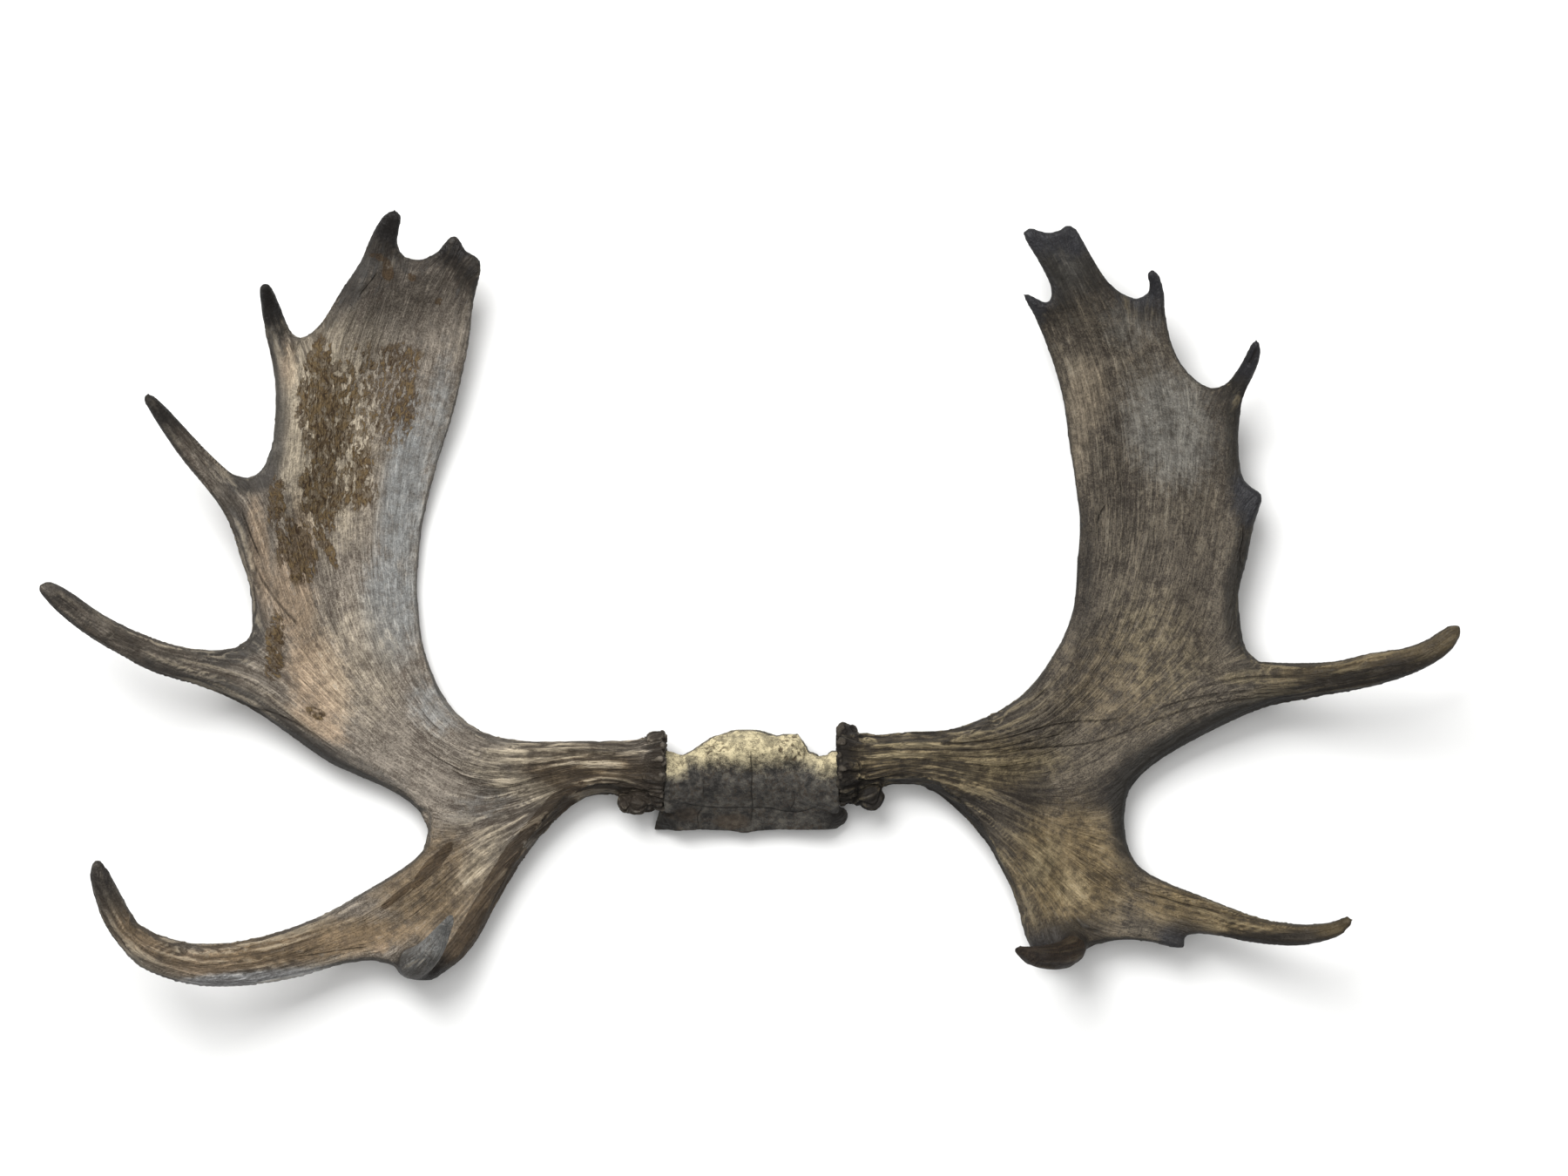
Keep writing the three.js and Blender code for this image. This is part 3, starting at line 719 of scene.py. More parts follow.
class Sketch:
    """Adds nodes to one tree and links them, so that a finish reads as a formula."""

    def __init__(self, tree: bpy.types.NodeTree) -> None:
        """Starts on a tree.

        Args:
            tree: The material's or group's tree.
        """
        self.tree = tree

    def node(self, kind: str, **settings: object) -> bpy.types.Node:
        """Adds a node.

        Args:
            kind: Its type name.
            settings: Properties to set on it.

        Returns:
            The node.
        """
        made = self.tree.nodes.new(kind)
        for key, value in settings.items():
            setattr(made, key, value)
        return made

    def feed(self, socket: bpy.types.NodeSocket, value: object) -> None:
        """Links or sets one input.

        Args:
            socket: The socket to fill.
            value: Another socket, or a plain value.
        """
        if isinstance(value, bpy.types.NodeSocket):
            self.tree.links.new(value, socket)
        else:
            socket.default_value = value

    def math(self, operation: str, first: Feed, second: Feed = 0.0) -> Feed:
        """One step of arithmetic.

        Args:
            operation: Name of the operation.
            first: First number.
            second: Second number.

        Returns:
            The result's socket.
        """
        step = self.node("ShaderNodeMath", operation=operation)
        self.feed(step.inputs[0], first)
        self.feed(step.inputs[1], second)
        return step.outputs[0]

    def times(self, first: Feed, second: Feed) -> Feed:
        """Product of two numbers."""
        return self.math("MULTIPLY", first, second)

    def plus(self, first: Feed, second: Feed) -> Feed:
        """Sum of two numbers."""
        return self.math("ADD", first, second)

    def less(self, first: Feed, second: Feed) -> Feed:
        """First number less the second."""
        return self.math("SUBTRACT", first, second)

    def most(self, first: Feed, second: Feed) -> Feed:
        """Greater of two numbers."""
        return self.math("MAXIMUM", first, second)

    def total(self, *parts: tuple[Feed, Feed]) -> Feed:
        """Sum of parts.

        Args:
            parts: Each part and its share.

        Returns:
            The result's socket.
        """
        result: Feed = 0.0
        for part, share in parts:
            result = self.plus(result, self.times(part, share))
        return result

    def blend(self, share: Feed, low: Feed, high: Feed) -> Feed:
        """Number between two numbers.

        Args:
            share: 0 for the first, 1 for the second.
            low: First number.
            high: Second number.

        Returns:
            The result's socket.
        """
        mix = self.node("ShaderNodeMix", data_type="FLOAT")
        self.feed(mix.inputs[0], share)
        self.feed(mix.inputs[2], low)
        self.feed(mix.inputs[3], high)
        return mix.outputs[0]

    def paint(self, share: Feed, under: object, over: object) -> Feed:
        """Colour laid over a colour.

        Args:
            share: How much of the upper colour shows.
            under: Lower colour.
            over: Upper colour.

        Returns:
            The result's socket.
        """
        mix = self.node("ShaderNodeMix", data_type="RGBA", clamp_factor=True)
        self.feed(mix.inputs[0], share)
        self.feed(mix.inputs[6], under)
        self.feed(mix.inputs[7], over)
        return mix.outputs[2]

    def coat(self, under: object, share: Feed, strength: float, over: object) -> Feed:
        """Colour laid over a colour at less than its full strength.

        Args:
            under: Lower colour.
            share: Where the upper colour shows.
            strength: How much of it shows there.
            over: Upper colour.

        Returns:
            The result's socket.
        """
        return self.paint(self.times(share, strength), under, over)

    def dim(self, colour: Feed, share: Feed) -> Feed:
        """Colour times a number.

        Args:
            colour: The colour.
            share: The number.

        Returns:
            The result's socket.
        """
        scale = self.node("ShaderNodeVectorMath", operation="SCALE")
        self.feed(scale.inputs[0], colour[:3] if isinstance(colour, tuple) else colour)
        self.feed(scale.inputs[3], share)
        return scale.outputs[0]

    def step(self, value: Feed, start: Feed, end: Feed) -> Feed:
        """Smooth step from 0 at start to 1 at end.

        Args:
            value: Number to map.
            start: Where the result is 0.
            end: Where the result is 1.

        Returns:
            The result's socket.
        """
        mapped = self.node("ShaderNodeMapRange", interpolation_type="SMOOTHSTEP", clamp=True)
        self.feed(mapped.inputs[0], value)
        self.feed(mapped.inputs[1], start)
        self.feed(mapped.inputs[2], end)
        return mapped.outputs[0]

    def hairline(self, value: Feed, half_width: float) -> Feed:
        """Thin line where noise crosses 0.5.

        Args:
            value: The noise.
            half_width: How far from 0.5 the line fades out.

        Returns:
            The result's socket, 1 in the middle of the line.
        """
        away = self.math("ABSOLUTE", self.less(value, 0.5))
        return self.less(1.0, self.step(away, 0.0, half_width))

    def noise(self, vector: Feed, scale: Feed, detail: float, roughness: float = 0.55) -> Feed:
        """Soft noise about 0.5.

        Args:
            vector: Where to read it.
            scale: How fine it is.
            detail: Number of finer layers.
            roughness: Strength of the finer layers.

        Returns:
            The result's socket.
        """
        cloud = self.node("ShaderNodeTexNoise")
        self.feed(cloud.inputs["Vector"], vector)
        self.feed(cloud.inputs["Scale"], scale)
        cloud.inputs["Detail"].default_value = detail
        cloud.inputs["Roughness"].default_value = roughness
        return cloud.outputs[0]

    def fine_relief(self, surface: bpy.types.Node, height: Feed, depth_m: float) -> None:
        """Roughens a surface shader's normal.

        Args:
            surface: The shader.
            height: Height over the surface.
            depth_m: Metres to a height of 1.
        """
        bump = self.node("ShaderNodeBump")
        bump.inputs["Strength"].default_value = 0.8
        bump.inputs["Distance"].default_value = depth_m
        self.feed(bump.inputs["Height"], height)
        self.feed(surface.inputs["Normal"], bump.outputs["Normal"])

    def attribute(self, name: str) -> tuple[Feed, Feed, Feed]:
        """The three numbers stored under a name, each as a socket."""
        split = self.node("ShaderNodeSeparateXYZ")
        self.feed(split.inputs[0], self.vector_of(name))
        return split.outputs[0], split.outputs[1], split.outputs[2]

    def vector_of(self, name: str) -> Feed:
        """The vector stored under a name."""
        stored = self.node("ShaderNodeAttribute", attribute_type="GEOMETRY", attribute_name=name)
        return stored.outputs["Vector"]

    def place(self, group: bpy.types.NodeTree, **values: object) -> dict[str, Feed]:
        """Places a node group.

        Args:
            group: The group.
            values: Its inputs, by name with underscores for spaces.

        Returns:
            Its outputs by name.
        """
        node = self.node("ShaderNodeGroup", node_tree=group)
        for key, value in values.items():
            self.feed(node.inputs[key.replace("_", " ")], value)
        return {output.name: output for output in node.outputs}


def new_group(
    name: str, inputs: dict[str, tuple[str, float]], outputs: tuple[str, ...]
) -> tuple[Sketch, bpy.types.Node, bpy.types.Node]:
    """Starts a shader node group.

    Args:
        name: Name of the group.
        inputs: Kind and first value of each input, "Float" or "Vector".
        outputs: Names of the outputs, all numbers.

    Returns:
        The sketch to build in, the input node and the output node.
    """
    tree = bpy.data.node_groups.new(name, "ShaderNodeTree")
    for label, (kind, value) in inputs.items():
        socket = tree.interface.new_socket(label, in_out="INPUT", socket_type="NodeSocket" + kind)
        if kind == "Float":
            socket.default_value = value
    for label in outputs:
        tree.interface.new_socket(label, in_out="OUTPUT", socket_type="NodeSocketFloat")
    sketch = Sketch(tree)
    return sketch, sketch.node("NodeGroupInput"), sketch.node("NodeGroupOutput")


class SharedEffects:
    """Node groups that more than one finish uses."""

    def __init__(self) -> None:
        """Builds each group once."""
        self.streaks = self._make_streaks()
        self.mottle = self._make_mottle()
        self.ragged = self._make_ragged()

    def tear(
        self, sketch: Sketch, mask: Feed, tear: Feed, strength: float, softness: float
    ) -> Feed:
        """Tears the edge of a mask.

        Args:
            sketch: Where the mask is.
            mask: The mask.
            tear: Numbers about 0.5 that push its edge in and out.
            strength: How far they push it.
            softness: Half the width of the torn edge.

        Returns:
            The torn mask.
        """
        values = {"Mask": mask, "Tear": tear, "Strength": strength, "Softness": softness}
        return sketch.place(self.ragged, **values)["Mask"]

    @staticmethod
    def _make_streaks() -> bpy.types.NodeTree:
        """Streaks that follow the growth and keep one width wherever its lines spread.

        Returns:
            The node group.
        """
        sketch, given, result = new_group(
            "growth_streaks",
            {
                "Growth": ("Vector", 0.0),
                "Octave": ("Float", 0.0),
                "Width": ("Float", 2.0),
                "Stretch": ("Float", 16.0),
                "Seed": ("Float", 0.0),
            },
            ("Streak", "Line"),
        )
        width = sketch.math("LOGARITHM", given.outputs["Width"], 2.0)
        level = sketch.times(sketch.plus(given.outputs["Octave"], width), -1.0)
        coarse = sketch.math("FLOOR", level)
        share = sketch.less(level, coarse)
        split = sketch.node("ShaderNodeSeparateXYZ")
        sketch.feed(split.inputs[0], given.outputs["Growth"])
        drawn = sketch.node("ShaderNodeCombineXYZ")
        drawn_out = sketch.math("DIVIDE", split.outputs[0], given.outputs["Stretch"])
        sketch.feed(drawn.inputs[0], drawn_out)
        sketch.feed(drawn.inputs[1], split.outputs[1])
        sketch.feed(drawn.inputs[2], split.outputs[2])
        seed = sketch.node("ShaderNodeCombineXYZ")
        sketch.feed(seed.inputs[0], given.outputs["Seed"])
        sketch.feed(seed.inputs[2], given.outputs["Seed"])
        layers = []
        for finer in (0.0, 1.0):
            scale = sketch.math("POWER", 2.0, sketch.plus(coarse, finer))
            place = sketch.node("ShaderNodeVectorMath", operation="MULTIPLY_ADD")
            sketch.feed(place.inputs[0], drawn.outputs[0])
            sketch.feed(place.inputs[1], scale)
            sketch.feed(place.inputs[2], seed.outputs[0])
            layers.append(sketch.noise(place.outputs[0], 1.0, 2.0, 0.6))
        streak = sketch.blend(share, layers[0], layers[1])
        sketch.feed(result.inputs["Streak"], sketch.step(streak, 0.28, 0.72))
        sketch.feed(result.inputs["Line"], sketch.hairline(streak, 0.045))
        return sketch.tree

    @staticmethod
    def _make_mottle() -> bpy.types.NodeTree:
        """Clouds, grain and pits of dry bone that follow nothing.

        Returns:
            The node group.
        """
        sketch, given, result = new_group(
            "bone_mottle",
            {"Cloud Size": ("Float", 40.0), "Grain Size": ("Float", 2.0), "Seed": ("Float", 0.0)},
            ("Cloud", "Grain", "Pit", "Vein"),
        )
        spot = sketch.node("ShaderNodeTexCoord").outputs["Object"]
        moved = sketch.node("ShaderNodeVectorMath", operation="ADD")
        sketch.feed(moved.inputs[0], spot)
        sketch.feed(moved.inputs[1], given.outputs["Seed"])
        cloud_scale = sketch.math("DIVIDE", 1000.0, given.outputs["Cloud Size"])
        grain_scale = sketch.math("DIVIDE", 1000.0, given.outputs["Grain Size"])
        cloud = sketch.noise(moved.outputs[0], cloud_scale, 5.0, 0.62)
        grain = sketch.noise(moved.outputs[0], grain_scale, 2.0, 0.6)
        cells = sketch.node("ShaderNodeTexVoronoi", feature="F1")
        sketch.feed(cells.inputs["Vector"], moved.outputs[0])
        sketch.feed(cells.inputs["Scale"], sketch.times(grain_scale, 0.5))
        hollow = sketch.less(1.0, sketch.step(cells.outputs["Distance"], 0.12, 0.3))
        sketch.feed(result.inputs["Cloud"], sketch.step(cloud, 0.3, 0.7))
        sketch.feed(result.inputs["Grain"], sketch.step(grain, 0.28, 0.72))
        sketch.feed(result.inputs["Vein"], sketch.hairline(cloud, 0.02))
        sketch.feed(result.inputs["Pit"], sketch.times(hollow, sketch.step(cloud, 0.5, 0.66)))
        return sketch.tree

    @staticmethod
    def _make_ragged() -> bpy.types.NodeTree:
        """A soft mask torn to a crisp ragged edge.

        Returns:
            The node group.
        """
        sketch, given, result = new_group(
            "ragged_edge",
            {
                "Mask": ("Float", 0.0),
                "Tear": ("Float", 0.5),
                "Strength": ("Float", 0.8),
                "Softness": ("Float", 0.06),
            },
            ("Mask",),
        )
        mask, tear, strength, softness = (
            given.outputs[name] for name in ("Mask", "Tear", "Strength", "Softness")
        )
        torn = sketch.plus(mask, sketch.times(sketch.less(tear, 0.5), strength))
        low, high = sketch.less(0.5, softness), sketch.plus(0.5, softness)
        sketch.feed(result.inputs["Mask"], sketch.step(torn, low, high))
        return sketch.tree


# ---- Finishes ----------------------------------------------------------------------------


def start_material(name: str) -> tuple[Sketch, bpy.types.Material, bpy.types.Node]:
    """Starts a material.

    Args:
        name: Name of the material.

    Returns:
        The sketch to build in, the material and its surface shader.
    """
    material = bpy.data.materials.new(name)
    material.use_nodes = True
    return Sketch(material.node_tree), material, material.node_tree.nodes["Principled BSDF"]


@dataclass(frozen=True)
class AntlerFinish:
    """Dry antler: streaked along its growth, stained by velvet, dark at its tips, with painted
    shade on rims and undersides and painted light.

    Colours are hexadecimal screen colours. A thread is a width, a stretch and a seed.
    """

    name: str
    # Of these colours, cool is partly painted sky light, cream partly painted highlight, rim
    # painted shade, shadow partly painted shade and the last one painted bounce light.
    pale: str
    middle: str
    dark: str
    warm: str
    cool: str
    velvet: str
    velvet_dark: str
    rim: str
    tip: str
    groove: str
    olive: str
    cream: str
    shadow: str
    edging: str
    bounce_light: str
    seed: float
    threads: tuple[tuple[float, float, float], ...] = ((4.2, 26.0, 15.0), (6.5, 20.0, 27.0))
    gloss: float = 0.24
    grain_depth_m: float = 0.0013

    def make(self, shared: SharedEffects) -> bpy.types.Material:
        """Builds the material.

        Args:
            shared: The shared node groups.

        Returns:
            The material.
        """
        return AntlerPaint(self, shared).make()


class AntlerPaint:
    """An antler's material in the making: what its skin stores, its grain and its layers."""

    def __init__(self, finish: AntlerFinish, shared: SharedEffects) -> None:
        """Starts the material.

        Args:
            finish: The colours.
            shared: The shared node groups.
        """
        sketch, self.material, self.surface = start_material(finish.name)
        self.sketch, self.finish, self.shared = sketch, finish, shared
        self.growth = sketch.vector_of("growth")
        self.octave, self.rim, self.tip = sketch.attribute("form")
        self.ridge, self.beam, self.bounce_lit = sketch.attribute("relief")
        self.velvet, self.warm, self.cool = sketch.attribute("stain")
        self.dark, self.cream, self.olive = sketch.attribute("shade")
        self.crack_side, self.crack_present, self.pit = sketch.attribute("crack")
        self.stripe, self.burr, self.pearl = sketch.attribute("margin")
        self.fine = self._streak(1.3, 8.0, 1.3)
        self.middling = self._streak(2.8, 18.0, 5.1)
        self.broad = self._streak(10.0, 13.0, 9.7)
        self.mottle = sketch.place(
            shared.mottle, Cloud_Size=34.0, Grain_Size=3.0, Seed=finish.seed
        )
        self.small = sketch.place(
            shared.mottle, Cloud_Size=9.0, Grain_Size=1.3, Seed=finish.seed + 3.0
        )
        self.tear = sketch.blend(0.55, self.middling["Streak"], self.small["Cloud"])

    def _streak(
        self, width: float, stretch: float, seed: float, lines: Feed | None = None
    ) -> dict[str, Feed]:
        """Streaks of one width.

        Args:
            width: Their width in millimetres.
            stretch: Their length in widths.
            seed: What sets them apart from the others.
            lines: Growth to follow, if it isn't the skin's own.

        Returns:
            The outputs of the group.
        """
        return self.sketch.place(
            self.shared.streaks,
            Growth=self.growth if lines is None else lines,
            Octave=self.octave,
            Width=width,
            Stretch=stretch,
            Seed=self.finish.seed + seed,
        )

    def _torn(self, mask: Feed, strength: float, softness: float) -> Feed:
        """A stored mask with its edge torn along the grain."""
        return self.shared.tear(self.sketch, mask, self.tear, strength, softness)

    def _tone(self) -> Feed:
        """How pale the bare bone is: grainy in the palms, streaked in the beam and tines.

        Returns:
            The mask between the darker and the lighter bone.
        """
        sketch, small, mottle = self.sketch, self.small, self.mottle
        shares = (
            (self.fine["Streak"], 0.26, 0.34),
            (self.middling["Streak"], 0.1, 0.36),
            (self.broad["Streak"], 0.06, 0.12),
            (small["Cloud"], 0.1, 0.06),
            (small["Grain"], 0.23, 0.06),
            (mottle["Cloud"], 0.13, 0.06),
            (mottle["Grain"], 0.12, 0.0),
        )
        tone = sketch.total(
            *((part, sketch.blend(self.beam, palm, beam)) for part, palm, beam in shares)
        )
        blotch = sketch.blend(0.4, mottle["Cloud"], small["Grain"])
        blotch = sketch.blend(0.45, small["Cloud"], blotch)
        return sketch.blend(sketch.times(self.olive, 0.55), tone, blotch)

    def _lay_stains(self, colour: Feed, tone: Feed) -> Feed:
        """Lays stains and tints, painted shade and painted light, the rims' painted shade and the
        edgings over the bare bone.

        Args:
            colour: The colour so far.
            tone: The mask of the bone's tone.

        Returns:
            The colour with the stains.
        """
        sketch, finish = self.sketch, self.finish
        grainy = sketch.blend(sketch.step(tone, 0.25, 0.75), 0.68, 1.32)
        grainy = sketch.times(grainy, sketch.blend(self.small["Cloud"], 0.86, 1.14))
        # In order: warm tint, cool grey (partly painted sky and bounce light), olive, cream
        # (partly painted highlight), the dark mask (darker bone and painted shade) and painted
        # bounce light.
        for mask, code, strength in (
            (self.warm, finish.warm, 0.75),
            (self.cool, finish.cool, 0.82),
            (self.olive, finish.olive, 0.8),
            (self.cream, finish.cream, 0.75),
            (self.dark, finish.shadow, 0.9),
            (self.bounce_lit, finish.bounce_light, 0.8),
        ):
            share = self._torn(mask, 0.6, 0.45)
            colour = sketch.coat(colour, share, strength, sketch.dim(linear(code), grainy))
        # Painted shade on the rims.
        colour = sketch.coat(colour, self._torn(self.rim, 0.6, 0.45), 0.85, linear(finish.rim))
        edging = self._torn(self.stripe, 0.5, 0.06)
        return sketch.coat(colour, edging, 0.88, sketch.dim(linear(finish.edging), grainy))

    def _furrow_lines(self) -> Feed:
        """Thin dark lines along the growth, strongest in the beam.

        Returns:
            The mask of the furrows.
        """
        sketch = self.sketch
        lines: Feed = 0.0
        for streak, palm, beam in (
            (self.middling, 0.1, 0.62),
            (self.broad, 0.3, 0.6),
            (self.fine, 0.22, 0.4),
        ):
            strength = sketch.blend(self.beam, palm, beam)
            lines = sketch.most(lines, sketch.times(streak["Line"], strength))
        return lines

    def _lay_ridges(self, colour: Feed) -> Feed:
        """Lays pale ridge tops, partly a painted highlight, dark furrows and threads, and the
        pearls of the burr.

        Args:
            colour: The colour so far.

        Returns:
            The colour with ridges and grooves.
        """
        sketch, finish = self.sketch, self.finish
        # Painted highlight: cream on raised ridge tops of beam and tines, partly paler bone, less
        # on the burr and on dark or stained bone.
        high = sketch.times(sketch.step(self.ridge, -0.15, 0.55), self.beam)
        high = sketch.times(high, sketch.step(self.fine["Streak"], 0.0, 0.48))
        high = sketch.times(high, sketch.blend(self.burr, 0.85, 0.45))
        high = sketch.times(high, sketch.blend(sketch.most(self.dark, self.stripe), 1.0, 0.2))
        colour = sketch.paint(high, colour, linear(finish.cream))
        low = sketch.step(self.ridge, 0.15, -0.5)
        low = sketch.times(low, sketch.blend(self.beam, 0.25, 0.65))
        colour = sketch.paint(low, colour, linear(finish.groove))
        thread = sketch.most(*(self._streak(*thread)["Line"] for thread in finish.threads))
        thread = sketch.times(thread, self.beam)
        colour = sketch.coat(colour, thread, 0.62, linear(finish.groove))
        return sketch.coat(colour, sketch.step(self.pearl, 0.2, 0.9), 0.55, linear(finish.middle))

    def _lay_velvet(self, colour: Feed) -> tuple[Feed, Feed]:
        """Lays shreds of dried velvet with a net of darker outlines.

        Args:
            colour: The colour so far.

        Returns:
            The colour, and where the velvet lies.
        """
        sketch, small = self.sketch, self.small
        dark = linear(self.finish.velvet_dark)
        sway = sketch.total(
            (sketch.less(small["Cloud"], 0.5), 2.0), (sketch.less(self.mottle["Cloud"], 0.5), 5.0)
        )
        shift = sketch.node("ShaderNodeCombineXYZ")
        sketch.feed(shift.inputs[1], sketch.times(sway, sketch.math("POWER", 2.0, self.octave)))
        bent = sketch.node("ShaderNodeVectorMath", operation="ADD")
        sketch.feed(bent.inputs[0], self.growth)
        sketch.feed(bent.inputs[1], shift.outputs[0])
        flake = self._streak(5.0, 2.4, 21.0, bent.outputs[0])
        shred = self._streak(1.7, 4.0, 33.0, bent.outputs[0])
        tatter = sketch.blend(0.4, shred["Streak"], small["Cloud"])
        tatter = sketch.blend(0.35, flake["Streak"], tatter)
        torn, spread = (
            self.shared.tear(sketch, mask, tatter, 1.7, 0.06)
            for mask in (self.velvet, sketch.plus(self.velvet, 0.13))
        )
        torn = sketch.times(torn, sketch.step(self.velvet, 0.08, 0.25))
        worn = sketch.step(sketch.blend(0.5, shred["Streak"], small["Cloud"]), 0.5, 0.66)
        torn = sketch.times(torn, sketch.blend(worn, 0.96, 0.22))
        felt = sketch.step(shred["Streak"], 0.1, 0.6)
        felt = sketch.paint(felt, dark, linear(self.finish.velvet))
        outline = sketch.times(spread, sketch.step(self.velvet, 0.08, 0.3))
        colour = sketch.coat(colour, outline, 0.6, dark)
        colour = sketch.paint(torn, colour, felt)
        net = sketch.times(flake["Line"], sketch.step(self.velvet, 0.1, 0.5))
        return sketch.coat(colour, net, 0.6, dark), torn

    def _lay_tine_ends(self, colour: Feed, tone: Feed) -> tuple[Feed, Feed]:
        """Darkens the tips of the tines.

        Args:
            colour: The colour so far.
            tone: How pale the bone is.

        Returns:
            The colour, and where the dark tips lie.
        """
        sketch, finish = self.sketch, self.finish
        end = self._torn(self.tip, 0.4, 0.42)
        shade = sketch.dim(linear(finish.tip), sketch.blend(tone, 0.5, 1.4))
        greened = sketch.dim(linear(finish.olive), sketch.blend(tone, 0.15, 0.45))
        shade = sketch.coat(shade, self.olive, 0.85, greened)
        return sketch.coat(colour, end, 0.92, shade), end

    def _lay_gaps(self, colour: Feed) -> tuple[Feed, Feed]:
        """Darkens pores, cracks and pits.

        Args:
            colour: The colour so far.

        Returns:
            The colour, and where the cracks and pits lie.
        """
        sketch, groove = self.sketch, linear(self.finish.groove)
        colour = sketch.coat(colour, self.small["Pit"], 0.5, groove)
        side = sketch.math("ABSOLUTE", self.crack_side)
        gap = sketch.times(sketch.less(1.0, sketch.step(side, 0.2, 1.7)), self.crack_present)
        gap = sketch.times(gap, sketch.blend(self.middling["Streak"], 0.95, 0.5))
        gap = sketch.most(gap, sketch.step(self.pit, 0.35, 0.6))
        return sketch.coat(colour, gap, 0.75, groove), gap

    def make(self) -> bpy.types.Material:
        """Lays every layer in order.

        Returns:
            The material.
        """
        sketch, finish, inputs = self.sketch, self.finish, self.surface.inputs
        tone = self._tone()
        colour = sketch.step(tone, 0.3, 0.54)
        colour = sketch.paint(colour, linear(finish.dark), linear(finish.middle))
        colour = sketch.paint(sketch.step(tone, 0.46, 0.68), colour, linear(finish.pale))
        colour = self._lay_stains(colour, tone)
        line = self._furrow_lines()
        colour = self._lay_ridges(sketch.paint(line, colour, linear(finish.groove)))
        colour, torn = self._lay_velvet(colour)
        colour, end = self._lay_tine_ends(colour, tone)
        colour, gap = self._lay_gaps(colour)
        sketch.feed(inputs["Base Color"], colour)
        rough = sketch.blend(torn, sketch.blend(tone, 0.78, 0.6), 0.86)
        sketch.feed(inputs["Roughness"], sketch.blend(end, rough, 0.5))
        inputs["Specular IOR Level"].default_value = finish.gloss
        height = sketch.total(
            (self.fine["Streak"], 0.5),
            (self.middling["Streak"], 0.7),
            (line, -0.7),
            (gap, -1.6),
            (self.small["Pit"], -0.5),
            (self.mottle["Grain"], 0.3),
            (torn, 0.35),
        )
        sketch.fine_relief(self.surface, height, finish.grain_depth_m)
        return self.material


@dataclass(frozen=True)
class SkullFinish:
    """Dry skull bone: greenish cream on its crest, partly painted light from above, mottled grey
    below, cracked.
    """

    name: str = "weathered_skull_bone"
    cream: str = "b9ad8b"
    middle: str = "4b4843"
    dark: str = "191715"
    brown: str = "382b1c"
    seam: str = "100d0a"
    stain: str = "3b3024"
    gloss: float = 0.3
    grain_depth_m: float = 0.0009

    def make(self, shared: SharedEffects) -> bpy.types.Material:
        """Builds the material.

        Args:
            shared: The shared node groups.

        Returns:
            The material.
        """
        sketch, material, surface = start_material(self.name)
        crest, hollow, brown = sketch.attribute("bone")
        crack_side, crack_present, corner = sketch.attribute("crack")
        cloud = sketch.place(shared.mottle, Cloud_Size=16.0, Grain_Size=1.4, Seed=2.0)
        small = sketch.place(shared.mottle, Cloud_Size=5.0, Grain_Size=0.8, Seed=6.0)

        tone = sketch.blend(0.5, cloud["Cloud"], small["Cloud"])
        tone = sketch.blend(0.3, tone, small["Grain"])
        depth = sketch.step(tone, 0.15, 0.85)
        colour = sketch.paint(depth, linear(self.dark), linear(self.middle))
        top, patch, edge = (
            shared.tear(sketch, mask, tone, 0.42, 0.48) for mask in (crest, brown, corner)
        )
        grainy = sketch.blend(sketch.step(tone, 0.25, 0.75), 0.42, 1.34)
        # The crest's greenish cream, partly painted light from above.
        colour = sketch.coat(colour, top, 0.94, sketch.dim(linear(self.cream), grainy))
        stain = sketch.dim(linear(self.stain), sketch.blend(tone, 0.5, 1.5))
        colour = sketch.coat(colour, patch, 0.6, stain)
        speck = sketch.times(cloud["Pit"], sketch.blend(crest, 0.3, 0.85))
        speck = sketch.most(speck, sketch.times(cloud["Vein"], 0.6))
        speck = sketch.most(speck, sketch.times(small["Pit"], 0.45))
        colour = sketch.paint(speck, colour, linear(self.brown))
        colour = sketch.coat(colour, sketch.step(hollow, 0.1, 0.8), 0.8, linear(self.brown))
        colour = sketch.coat(colour, edge, 0.75, linear(self.seam))
        side = sketch.math("ABSOLUTE", crack_side)
        gap = sketch.times(sketch.less(1.0, sketch.step(side, 0.4, 1.1)), crack_present)
        colour = sketch.coat(colour, gap, 0.6, linear(self.seam))
        sketch.feed(surface.inputs["Base Color"], colour)
        sketch.feed(surface.inputs["Roughness"], sketch.blend(tone, 0.85, 0.66))
        surface.inputs["Specular IOR Level"].default_value = self.gloss

        height = sketch.total(
            (cloud["Cloud"], 0.6),
            (small["Cloud"], 0.4),
            (small["Grain"], 0.3),
            (gap, -1.2),
            (cloud["Pit"], -0.8),
        )
        sketch.fine_relief(surface, height, self.grain_depth_m)
        return material


# ---- Pieces ------------------------------------------------------------------------------


@dataclass(frozen=True)
class Marks:
    """Where an antler is stained, darkened, cracked, and given painted shade and painted light."""

    velvet: tuple[Patch, ...] = ()
    warm: tuple[Patch, ...] = ()
    cool: tuple[Patch, ...] = ()
    dark: tuple[Patch, ...] = ()
    cream: tuple[Patch, ...] = ()
    olive: tuple[Patch, ...] = ()
    shade_band: tuple[Patch, ...] = ()
    stripe: tuple[Patch, ...] = ()
    stained: tuple[Patch, ...] = ()
    bounce_lit: tuple[Patch, ...] = ()
    cracks: tuple[Crack, ...] = ()
    pits: tuple[Patch, ...] = ()


@dataclass
class SkinFacts:
    """Where each point of an antler's skin lies on the antler.

    The plan is a view of the skin's own points, so it follows them as relief is raised.
    """

    plan: np.ndarray
    direction: np.ndarray
    lean: np.ndarray
    depth: np.ndarray
    growth: np.ndarray
    octave: np.ndarray
    is_small_tine: np.ndarray
    tip: np.ndarray
    beam: np.ndarray
    front: np.ndarray


